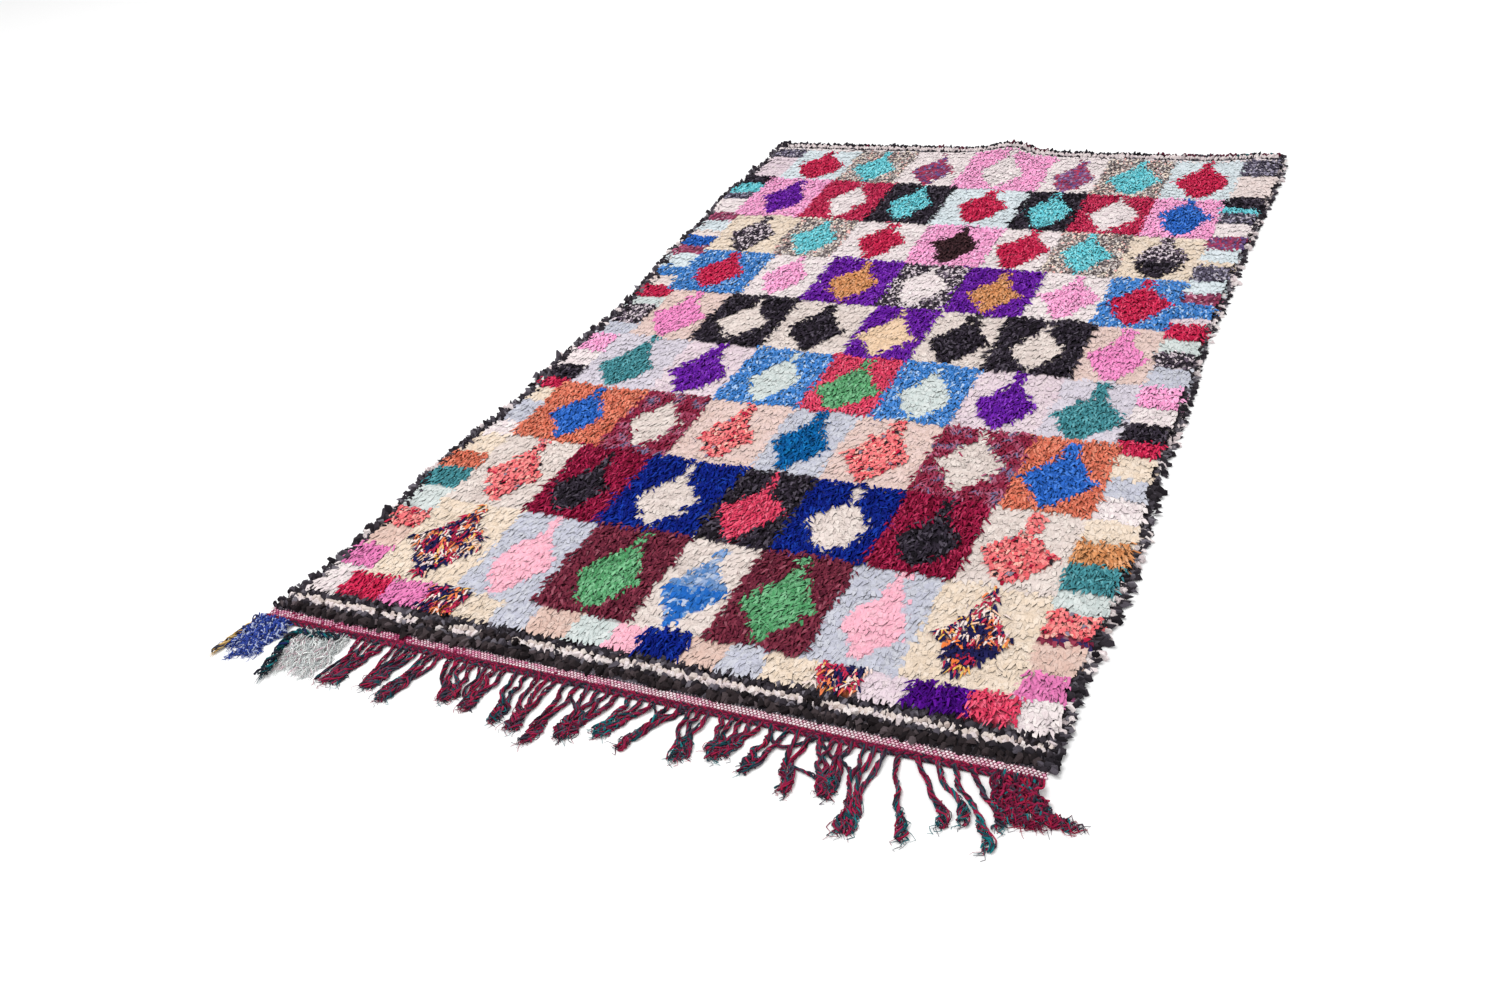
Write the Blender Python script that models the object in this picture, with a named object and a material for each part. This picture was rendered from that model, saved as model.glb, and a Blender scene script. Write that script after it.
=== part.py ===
# A boucherouite rug: a hand-knotted rag rug with a shaggy patchwork pile, lying flat.
# Metres. X runs across the rug, Y from the fringed end to the plain end, and the floor is z = 0,
# with the origin under the middle of the whole rug, fringe included.
# Places on the rug are given as across (from the nominal left side) and along (from the edge that
# the fringe leaves, towards the plain end).

import math
import random

import bmesh
import bpy
from mathutils import Vector, noise

# Driving sizes
RUG_WIDTH = 1.50
RUG_LENGTH = 2.45
FRINGE_LENGTH = 0.170
PILE_HEIGHT = 0.016
LUMP_HEIGHT = 0.0052
SELVEDGE_WIDTH = 0.026
SELVEDGE_HEIGHT = 0.009
KILIM_WIDTH = 0.030
KILIM_THICKNESS = 0.003
EDGE_CORD_HEIGHT = 0.004
PIECE_GAP = 0.0003

# The rug's middle, fringe included, is the origin
MIDDLE_ACROSS = 0.756
MIDDLE_ALONG = (RUG_LENGTH - FRINGE_LENGTH) / 2

# How far each long side strays from its nominal line, to the right, at a place along the rug
SIDE_STRAY = [
    {"along": 0.03, "left": -0.012, "right": -0.010},
    {"along": 0.15, "left": 0.002, "right": -0.009},
    {"along": 0.45, "left": 0.006, "right": 0.006},
    {"along": 0.58, "left": 0.002, "right": -0.003},
    {"along": 0.72, "left": 0.006, "right": 0.005},
    {"along": 0.90, "left": 0.016, "right": -0.008},
    {"along": 1.00, "left": 0.018, "right": -0.013},
    {"along": 1.20, "left": 0.021, "right": -0.013},
    {"along": 1.40, "left": 0.032, "right": -0.018},
    {"along": 1.55, "left": 0.012, "right": -0.014},
    {"along": 1.80, "left": 0.000, "right": -0.009},
    {"along": 2.06, "left": -0.012, "right": -0.005},
    {"along": 2.34, "left": -0.008, "right": 0.014},
    {"along": 2.45, "left": -0.010, "right": 0.000},
]

# How far the plain end strays from square, at a place across the rug
END_STRAY = [
    {"across": 0.00, "end": -0.002},
    {"across": 0.30, "end": -0.008},
    {"across": 0.62, "end": -0.013},
    {"across": 0.76, "end": -0.010},
    {"across": 0.84, "end": -0.028},
    {"across": 1.00, "end": -0.040},
    {"across": 1.30, "end": -0.042},
    {"across": 1.46, "end": -0.024},
    {"across": 1.50, "end": -0.020},
]
END_STRAY_LENGTH = 0.45

# Striped ends: where each line of the weave lies along the rug, and its share of the pile's height
FRINGED_END_LINES = [
    {"along": 0.030, "share": 0.45},
    {"along": 0.037, "share": 0.85},
    {"along": 0.048, "share": 0.90},
    {"along": 0.060, "share": 0.62},
    {"along": 0.072, "share": 0.90},
    {"along": 0.082, "share": 0.90},
    {"along": 0.092, "share": 0.80},
]
PLAIN_END_LINES = [
    {"along": 2.400, "share": 0.90},
    {"along": 2.412, "share": 0.75},
    {"along": 2.424, "share": 0.62},
    {"along": 2.436, "share": 0.80},
    {"along": 2.450, "share": 0.40},
]
FIELD_STEP_ALONG = 0.052
FIELD_STEPS_ACROSS = 27
RIM_STEP = 0.013
RIM_SHARE = 0.50

# The one fold: the plain end buckles up off the floor, and the buckle dies out inwards
BUCKLE_HEIGHT = 0.018
BUCKLE_ACROSS = 0.752
BUCKLE_HALF_WIDTH = 0.068
BUCKLE_LENGTH = 0.32

# Rag ends that stick out of the selvedges and of the plain end
SELVEDGE_STEP = 0.025
LOCK_CHANCE = 0.74
LOCK_REACH = 0.011
LOCK_END = 0.55
END_LOCK_REACH = 0.008

# Knotted warp ends: strands whose tips gather. Roots are spread evenly from first to last
STRAND_WIDTH = 0.0068
STRAND_HEIGHT = 0.0058
STRAND_STEPS = 5
TIP_PITCH = 0.0100
CLUMPS = [
    {"first": 0.232, "last": 0.286, "strands": 4, "tip": 0.252, "reach": 0.118, "sway": 0.004},
    {"first": 0.308, "last": 0.358, "strands": 4, "tip": 0.326, "reach": 0.116, "sway": 0.005},
    {"first": 0.380, "last": 0.412, "strands": 3, "tip": 0.374, "reach": 0.128, "sway": 0.004},
    {"first": 0.434, "last": 0.488, "strands": 4, "tip": 0.492, "reach": 0.098, "sway": -0.006},
    {"first": 0.512, "last": 0.548, "strands": 3, "tip": 0.533, "reach": 0.112, "sway": 0.003},
    {"first": 0.574, "last": 0.596, "strands": 2, "tip": 0.603, "reach": 0.124, "sway": -0.004},
    {"first": 0.618, "last": 0.654, "strands": 3, "tip": 0.641, "reach": 0.126, "sway": -0.004},
    {"first": 0.674, "last": 0.696, "strands": 2, "tip": 0.678, "reach": 0.144, "sway": 0.004},
    {"first": 0.716, "last": 0.774, "strands": 4, "tip": 0.731, "reach": 0.118, "sway": 0.004},
    {"first": 0.796, "last": 0.840, "strands": 3, "tip": 0.789, "reach": 0.100, "sway": 0.006},
    {"first": 0.868, "last": 0.890, "strands": 2, "tip": 0.838, "reach": 0.108, "sway": 0.005},
    {"first": 0.912, "last": 0.944, "strands": 3, "tip": 0.938, "reach": 0.108, "sway": -0.006},
    {"first": 0.966, "last": 1.032, "strands": 5, "tip": 0.992, "reach": 0.088, "sway": 0.004},
    {"first": 1.054, "last": 1.078, "strands": 2, "tip": 1.046, "reach": 0.100, "sway": 0.005},
    {"first": 1.098, "last": 1.118, "strands": 2, "tip": 1.122, "reach": 0.128, "sway": -0.005},
    {"first": 1.140, "last": 1.188, "strands": 4, "tip": 1.184, "reach": 0.112, "sway": -0.005},
    {"first": 1.208, "last": 1.240, "strands": 3, "tip": 1.238, "reach": 0.168, "sway": -0.004},
    {"first": 1.264, "last": 1.264, "strands": 1, "tip": 1.316, "reach": 0.160, "sway": -0.003},
    {"first": 1.292, "last": 1.292, "strands": 1, "tip": 1.362, "reach": 0.130, "sway": 0.007},
    {"first": 1.322, "last": 1.322, "strands": 1, "tip": 1.390, "reach": 0.116, "sway": 0.005},
    {"first": 1.350, "last": 1.350, "strands": 1, "tip": 1.434, "reach": 0.142, "sway": 0.005},
    {"first": 1.378, "last": 1.378, "strands": 1, "tip": 1.446, "reach": 0.098, "sway": 0.000},
]

# Tassels of spare yarn: a head in front of the flat-woven end, with strands that fan out of it
TASSELS = [
    {"name": "tassel_blue", "from": -0.010, "to": 0.076, "depth": 0.020, "height": 0.009,
     "first": -0.004, "last": 0.070, "strands": 7, "tip": 0.016, "pitch": 0.0135, "reach": 0.094,
     "sway": 0.002, "color": (0.08, 0.12, 0.38)},
    {"name": "tassel_white", "from": 0.096, "to": 0.214, "depth": 0.022, "height": 0.009,
     "first": 0.102, "last": 0.208, "strands": 8, "tip": 0.154, "pitch": 0.0125, "reach": 0.108,
     "sway": 0.002, "color": (0.52, 0.55, 0.54)},
    {"name": "tassel_red", "from": 1.412, "to": 1.478, "depth": 0.030, "height": 0.012,
     "first": 1.418, "last": 1.472, "strands": 6, "tip": 1.502, "pitch": 0.0135, "reach": 0.056,
     "sway": 0.006, "color": (0.34, 0.01, 0.04)},
]

COLORS = {
    "pile_cloth": (0.62, 0.52, 0.48),
    "selvedge": (0.03, 0.025, 0.03),
    "kilim": (0.62, 0.20, 0.30),
}


def clear_scene():
    for leftover in list(bpy.data.objects):
        bpy.data.objects.remove(leftover)


def place(across, along, z):
    return Vector((across - MIDDLE_ACROSS, along - MIDDLE_ALONG, z))


def smooth(t):
    t = min(1.0, max(0.0, t))
    return t * t * (3 - 2 * t)


def eased(table, key, at, column):
    # A table's column where its key is at, easing from one row to the next
    for before, after in zip(table, table[1:]):
        if at <= after[key]:
            share = (at - before[key]) / (after[key] - before[key])
            return before[column] + (after[column] - before[column]) * smooth(share)
    return table[-1][column]


def outer_side(side, along):
    return eased(SIDE_STRAY, "along", along, side) + (RUG_WIDTH if side == "right" else 0)


def strayed_along(across, along):
    # The lines near the plain end bend with it
    share = smooth((along - (RUG_LENGTH - END_STRAY_LENGTH)) / END_STRAY_LENGTH)
    return along + eased(END_STRAY, "across", across, "end") * share


def pile_side(side, along):
    # Where the pile stops and the selvedge starts
    inwards = -1 if side == "right" else 1
    return outer_side(side, along) + inwards * SELVEDGE_WIDTH


def buckle(across, along):
    from_middle = (across - BUCKLE_ACROSS) / BUCKLE_HALF_WIDTH
    rise = smooth((along - (RUG_LENGTH - BUCKLE_LENGTH)) / BUCKLE_LENGTH)
    # Bounded, so that the cloth lies on the floor outside the fold
    hump = max(0.0, math.exp(-from_middle * from_middle) - 0.02)
    return BUCKLE_HEIGHT * rise * hump


def lumps(across, along):
    wide = noise.noise(Vector((across * 13, along * 11, 0.5)))
    fine = noise.noise(Vector((across * 31, along * 29, 4.5)))
    return LUMP_HEIGHT * (wide + 0.8 * fine)


def new_object(name, bm, color, roughness=0.95):
    mesh = bpy.data.meshes.new(name)
    bmesh.ops.recalc_face_normals(bm, faces=bm.faces)
    bm.to_mesh(mesh)
    bm.free()
    material = bpy.data.materials.new(name)
    material.use_nodes = True
    shader = material.node_tree.nodes["Principled BSDF"]
    shader.inputs["Base Color"].default_value = (*color, 1)
    shader.inputs["Roughness"].default_value = roughness
    shader.inputs["Metallic"].default_value = 0
    mesh.materials.append(material)
    made = bpy.data.objects.new(name, mesh)
    bpy.context.scene.collection.objects.link(made)
    return made


def extrude_to(bm, face, corners):
    # Pulls a face out to new corners, given in the order of its own, and returns the new end face
    end = bmesh.ops.extrude_discrete_faces(bm, faces=[face])["faces"][0]
    for vert, corner in zip(end.verts, corners):
        vert.co = corner
    return end


def pull_lock(bm, face, outwards, reach, lean):
    # One rag end: it leaves the face and ends blunt, above the floor
    centre = face.calc_center_median()
    middle = centre + outwards * reach + lean
    extrude_to(bm, face, [middle + (vert.co - centre) * LOCK_END for vert in face.verts])


def loft(bm, rings):
    # Skins closed rings of corners, caps both ends, and returns the faces as [segment][side]
    lines = [[bm.verts.new(corner) for corner in ring] for ring in rings]
    sides = len(rings[0])
    skin = []
    for near, far in zip(lines, lines[1:]):
        skin.append(
            [
                bm.faces.new((near[k], near[(k + 1) % sides], far[(k + 1) % sides], far[k]))
                for k in range(sides)
            ]
        )
    bm.faces.new(lines[0])
    bm.faces.new(reversed(lines[-1]))
    bmesh.ops.recalc_face_normals(bm, faces=bm.faces)
    return skin


def lines_along():
    # Weave lines from the fringed end to the plain one, each with its share of the pile's height
    first, last = FRINGED_END_LINES[-1]["along"], PLAIN_END_LINES[0]["along"]
    steps = round((last - first) / FIELD_STEP_ALONG)
    field = [
        {"along": first + (last - first) * k / steps, "share": 1.0} for k in range(1, steps)
    ]
    return FRINGED_END_LINES + field + PLAIN_END_LINES


def columns_across(along):
    # Places from the left edge of the pile to the right one, with a short first and last step
    left = pile_side("left", along) + PIECE_GAP
    right = pile_side("right", along) - PIECE_GAP
    inner_left, inner_right = left + RIM_STEP, right - RIM_STEP
    inner = [
        inner_left + (inner_right - inner_left) * k / FIELD_STEPS_ACROSS
        for k in range(FIELD_STEPS_ACROSS + 1)
    ]
    return [left, *inner, right]


def pile_cloth():
    # The knotted cloth, with its lumpy top, its flat underside and the rag ends of the plain end
    random.seed(11)
    bm = bmesh.new()
    top, bottom = [], []
    for line in lines_along():
        columns = columns_across(line["along"])
        top_line, bottom_line = [], []
        for k, across in enumerate(columns):
            share = line["share"] * (RIM_SHARE if k in (0, len(columns) - 1) else 1)
            lift = buckle(across, line["along"])
            height = (PILE_HEIGHT + lumps(across, line["along"])) * share
            along = strayed_along(across, line["along"])
            if line is FRINGED_END_LINES[0]:
                along += PIECE_GAP
            top_line.append(bm.verts.new(place(across, along, lift + height)))
            bottom_line.append(bm.verts.new(place(across, along, lift)))
        top.append(top_line)
        bottom.append(bottom_line)
    underside = []
    for j in range(len(top) - 1):
        for i in range(len(top[0]) - 1):
            bm.faces.new((top[j][i], top[j][i + 1], top[j + 1][i + 1], top[j + 1][i]))
            underside.append(
                bm.faces.new(
                    (bottom[j][i], bottom[j + 1][i], bottom[j + 1][i + 1], bottom[j][i + 1])
                )
            )
    plain_rim = []
    for i in range(len(top[0]) - 1):
        bm.faces.new((bottom[0][i], bottom[0][i + 1], top[0][i + 1], top[0][i]))
        plain_rim.append(bm.faces.new((bottom[-1][i + 1], bottom[-1][i], top[-1][i], top[-1][i + 1])))
    for j in range(len(top) - 1):
        bm.faces.new((bottom[j + 1][0], bottom[j][0], top[j][0], top[j + 1][0]))
        bm.faces.new((bottom[j][-1], bottom[j + 1][-1], top[j + 1][-1], top[j][-1]))
    for face in plain_rim:
        lean = Vector((random.uniform(-0.004, 0.004), 0, 0))
        pull_lock(bm, face, Vector((0, 1, 0)), END_LOCK_REACH * random.uniform(0.5, 1.1), lean)
    # The flat part of the underside needs no inner points
    flat = [face for face in underside if max(vert.co.z for vert in face.verts) < 1e-6]
    inner_edges = {edge for face in flat for edge in face.edges if set(edge.link_faces) <= set(flat)}
    bmesh.ops.dissolve_edges(bm, edges=list(inner_edges), use_verts=True)
    return new_object("pile_cloth", bm, COLORS["pile_cloth"])


def inner_line(side):
    # Where a selvedge meets the pile, as (along, across). It is straight between the pile's lines
    lines = lines_along()
    points = []
    for near, far in zip(lines, lines[1:]):
        start, end = near["along"], far["along"]
        if near is lines[0]:
            start += PIECE_GAP
        steps = max(1, round((end - start) / SELVEDGE_STEP))
        for k in range(steps):
            share = k / steps
            across = pile_side(side, near["along"]) * (1 - share)
            across += pile_side(side, far["along"]) * share
            points.append((start + (end - start) * share, across))
    points.append((lines[-1]["along"], pile_side(side, lines[-1]["along"])))
    return points


def selvedge(side):
    # An overcast edge, lower than the pile, with black and white rag ends sticking out of it
    random.seed(21 if side == "left" else 22)
    bm = bmesh.new()
    outwards = 1 if side == "right" else -1
    rings = []
    for nominal_along, inner in inner_line(side):
        outer = outer_side(side, nominal_along) + random.uniform(-0.0025, 0.0015) * outwards
        along = strayed_along(inner, nominal_along)
        height = SELVEDGE_HEIGHT * random.uniform(0.86, 1.14)
        middle = inner + (outer - inner) * 0.55
        rings.append(
            [
                place(inner, along, 0),
                place(inner, along, height * 0.8),
                place(middle, along, height),
                place(outer, along, height * 0.55),
                place(outer, along, 0),
            ]
        )
    outer_face = 3
    for faces in loft(bm, rings):
        if random.random() < LOCK_CHANCE:
            lean = Vector((0, random.uniform(-0.010, 0.004), 0))
            reach = LOCK_REACH * random.uniform(0.45, 1.15)
            pull_lock(bm, faces[outer_face], Vector((outwards, 0, 0)), reach, lean)
    return new_object(f"selvedge_{side}", bm, COLORS["selvedge"])


def roots_of(group):
    if group["strands"] == 1:
        return [group["first"]]
    step = (group["last"] - group["first"]) / (group["strands"] - 1)
    return [group["first"] + step * k for k in range(group["strands"])]


def strand_path(group, k, root_along, reach):
    # Points along a strand on the floor, as (across, along). Strands of a group never cross
    root = roots_of(group)[k]
    tip = group["tip"] + (k - (group["strands"] - 1) / 2) * group.get("pitch", TIP_PITCH)
    points = []
    for step in range(1, STRAND_STEPS + 1):
        t = step / STRAND_STEPS
        across = root + (tip - root) * smooth(t) + group["sway"] * math.sin(math.pi * t)
        points.append((across, root_along - reach * t))
    return points


def pull_strand(bm, face, points):
    # Draws a strand with a flat underside out of a root face: it swells where it frays, then ends
    centre = face.calc_center_median()
    roles = [(vert.co.x > centre.x, vert.co.z > centre.z) for vert in face.verts]
    end = face
    for step, (across, along) in enumerate(points):
        t = (step + 1) / len(points)
        width = STRAND_WIDTH * (0.55 if t == 1 else 1.0 + 0.25 * smooth((t - 0.5) / 0.3))
        height = STRAND_HEIGHT * (0.45 if t == 1 else 1.0)
        before = points[max(0, step - 1)]
        after = points[min(len(points) - 1, step + 1)]
        heading = Vector((after[0] - before[0], after[1] - before[1], 0)).normalized()
        right = Vector((-heading.y, heading.x, 0))
        middle = place(across, along, 0)
        corners = []
        for is_right, is_top in roles:
            half = width / 2 * (0.6 if is_top else 1.0)
            offset = right * (half if is_right else -half)
            corners.append(middle + offset + Vector((0, 0, height if is_top else 0)))
        end = extrude_to(bm, end, corners)


def fringed_bar(name, start, end, near, far, heights, groups, color):
    # A bar across the rug whose near side carries strands. near and far are places along the rug,
    # and heights are those of its near and far sides
    random.seed(len(name))
    bm = bmesh.new()
    strands = []
    for group in groups:
        for k, root in enumerate(roots_of(group)):
            strands.append((root, group, k))
    strands.sort(key=lambda strand: strand[0])
    stations = [start]
    for root, _, _ in strands:
        stations += [root - STRAND_WIDTH / 2, root + STRAND_WIDTH / 2]
    stations.append(end)
    near_height, far_height = heights
    rings = [
        [
            place(across, far, 0),
            place(across, far, far_height),
            place(across, near, near_height),
            place(across, near, 0),
        ]
        for across in stations
    ]
    near_face = 2
    skin = loft(bm, rings)
    for number, (_, group, k) in enumerate(strands):
        reach = group["reach"] * random.uniform(0.90, 1.03)
        face = skin[2 * number + 1][near_face]
        pull_strand(bm, face, strand_path(group, k, near, reach))
    return new_object(name, bm, color)


def kilim_end():
    # The flat-woven end of the ground cloth, with the knotted warp ends fused along its edge
    left = outer_side("left", KILIM_WIDTH) + 0.008
    right = outer_side("right", KILIM_WIDTH) - 0.012
    heights = (EDGE_CORD_HEIGHT, KILIM_THICKNESS)
    return fringed_bar(
        "kilim_end", left, right, 0.0, KILIM_WIDTH - PIECE_GAP, heights, CLUMPS, COLORS["kilim"]
    )


def tassel(row):
    near = -row["depth"]
    heights = (row["height"] * 0.7, row["height"])
    return fringed_bar(
        row["name"], row["from"], row["to"], near, -PIECE_GAP, heights, [row], row["color"]
    )


def main():
    clear_scene()
    rug = bpy.data.objects.new("rug", None)
    bpy.context.scene.collection.objects.link(rug)
    pieces = [pile_cloth(), selvedge("left"), selvedge("right"), kilim_end()]
    pieces += [tassel(row) for row in TASSELS]
    for piece in pieces:
        piece.parent = rug


main()
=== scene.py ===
# A boucherouite rug lying flat: rag pile on a woven ground, striped ends, overcast sides, yarn fringe.
# Metres. Places on the rug are (across, along): from its left side, and from its fringed edge.

import math

import bmesh
import bpy
import numpy as np
from mathutils import Matrix, Vector, noise


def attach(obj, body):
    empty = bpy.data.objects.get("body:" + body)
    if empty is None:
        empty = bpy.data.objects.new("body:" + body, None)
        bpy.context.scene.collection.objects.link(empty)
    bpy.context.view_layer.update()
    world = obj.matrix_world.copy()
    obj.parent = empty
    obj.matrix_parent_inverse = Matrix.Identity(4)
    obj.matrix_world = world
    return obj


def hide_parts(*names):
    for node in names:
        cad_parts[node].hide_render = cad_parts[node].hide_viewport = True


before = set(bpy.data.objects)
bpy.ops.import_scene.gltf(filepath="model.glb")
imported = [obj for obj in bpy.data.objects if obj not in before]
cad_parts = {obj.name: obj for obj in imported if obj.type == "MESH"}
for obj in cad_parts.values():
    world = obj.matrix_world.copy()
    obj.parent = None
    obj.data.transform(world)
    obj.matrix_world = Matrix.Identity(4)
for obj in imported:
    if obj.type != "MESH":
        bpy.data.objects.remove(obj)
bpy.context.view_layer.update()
print("frame loaded")

# the same driving sizes as the solids
rug = {
    "width": 1.50,
    "length": 2.45,
    "middleAcross": 0.756,
    "middleAlong": 1.14,
    "selvedge": 0.026,
    "kilim": 0.030,
}
# places along the rug, and how far its left and its right side stray to the right of straight lines there.
# Then places across it, and how far the plain end strays past the rug's length
sideStray = [
    (0.03, -0.010, -0.010), (0.08, -0.002, -0.011), (0.15, 0.020, -0.013), (0.24, 0.024, -0.014),
    (0.33, 0.027, -0.007), (0.42, 0.019, -0.001), (0.50, 0.010, 0.004), (0.57, 0.012, 0.002),
    (0.63, 0.019, 0.002), (0.69, 0.020, -0.002), (0.76, 0.036, -0.012), (0.85, 0.045, -0.014),
    (0.94, 0.034, -0.008), (1.02, 0.031, -0.007), (1.11, 0.041, -0.011), (1.17, 0.038, -0.010),
    (1.25, 0.051, -0.014), (1.33, 0.046, -0.016), (1.41, 0.044, -0.013), (1.50, 0.033, -0.010),
    (1.60, 0.015, -0.006), (1.75, 0.009, -0.006), (1.88, 0.010, -0.001), (1.96, -0.010, 0.001),
    (2.06, -0.010, 0.005), (2.16, 0.002, 0.012), (2.34, 0.003, 0.015), (2.45, -0.006, 0.000),
]
endStray = [
    (0.00, -0.002), (0.30, -0.008), (0.62, -0.013), (0.76, -0.010), (0.84, -0.028), (1.00, -0.040),
    (1.30, -0.042), (1.46, -0.024), (1.50, -0.020),
]
endStrayLength = 0.45     # from where on the rug bends with its plain end
buckle = {"height": 0.018, "across": 0.752, "halfWidth": 0.068, "length": 0.32}


def smooth(t):
    t = np.clip(t, 0, 1)
    return t * t * (3 - 2 * t)


def eased(table, at, column):
    # a table's column where its first column is at, easing from row to row
    places = np.array([row[0] for row in table])
    values = np.array([row[column] for row in table])
    after = np.clip(np.searchsorted(places, at), 1, len(places) - 1)
    share = smooth((at - places[after - 1]) / (places[after] - places[after - 1]))
    return values[after - 1] + (values[after] - values[after - 1]) * share


def outerSide(side, along):
    if side == "right":
        return rug["width"] + eased(sideStray, along, 2)
    return eased(sideStray, along, 1)


def pileSide(side, along):
    inwards = -1 if side == "right" else 1
    return outerSide(side, along) + inwards * rug["selvedge"]


def buckleLift(across, along):
    fromMiddle = (across - buckle["across"]) / buckle["halfWidth"]
    rise = smooth((along - (rug["length"] - buckle["length"])) / buckle["length"])
    return buckle["height"] * rise * np.maximum(0, np.exp(-fromMiddle * fromMiddle) - 0.02)


def place(across, along, z):
    # a place on the rug, in the frame, with the plain end's bend and buckle
    share = smooth((along - (rug["length"] - endStrayLength)) / endStrayLength)
    bent = along + eased(endStray, across, 1) * share
    lift = buckleLift(across, along)
    return np.stack([across - rug["middleAcross"], bent - rug["middleAlong"], z + lift], axis=-1)


def linear(hexColor):
    values = [int(hexColor[k:k + 2], 16) / 255 for k in (1, 3, 5)]
    return [v / 12.92 if v <= 0.04045 else ((v + 0.055) / 1.055) ** 2.4 for v in values]


def spotsOf(across, along):
    return np.stack([across, along], axis=-1)


def wander(points, scale, seed):
    # smooth noise from about -1 to 1, with features of 1 / scale metres
    return np.array([noise.noise(Vector((x * scale, y * scale, seed))) for x, y in points])


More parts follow.
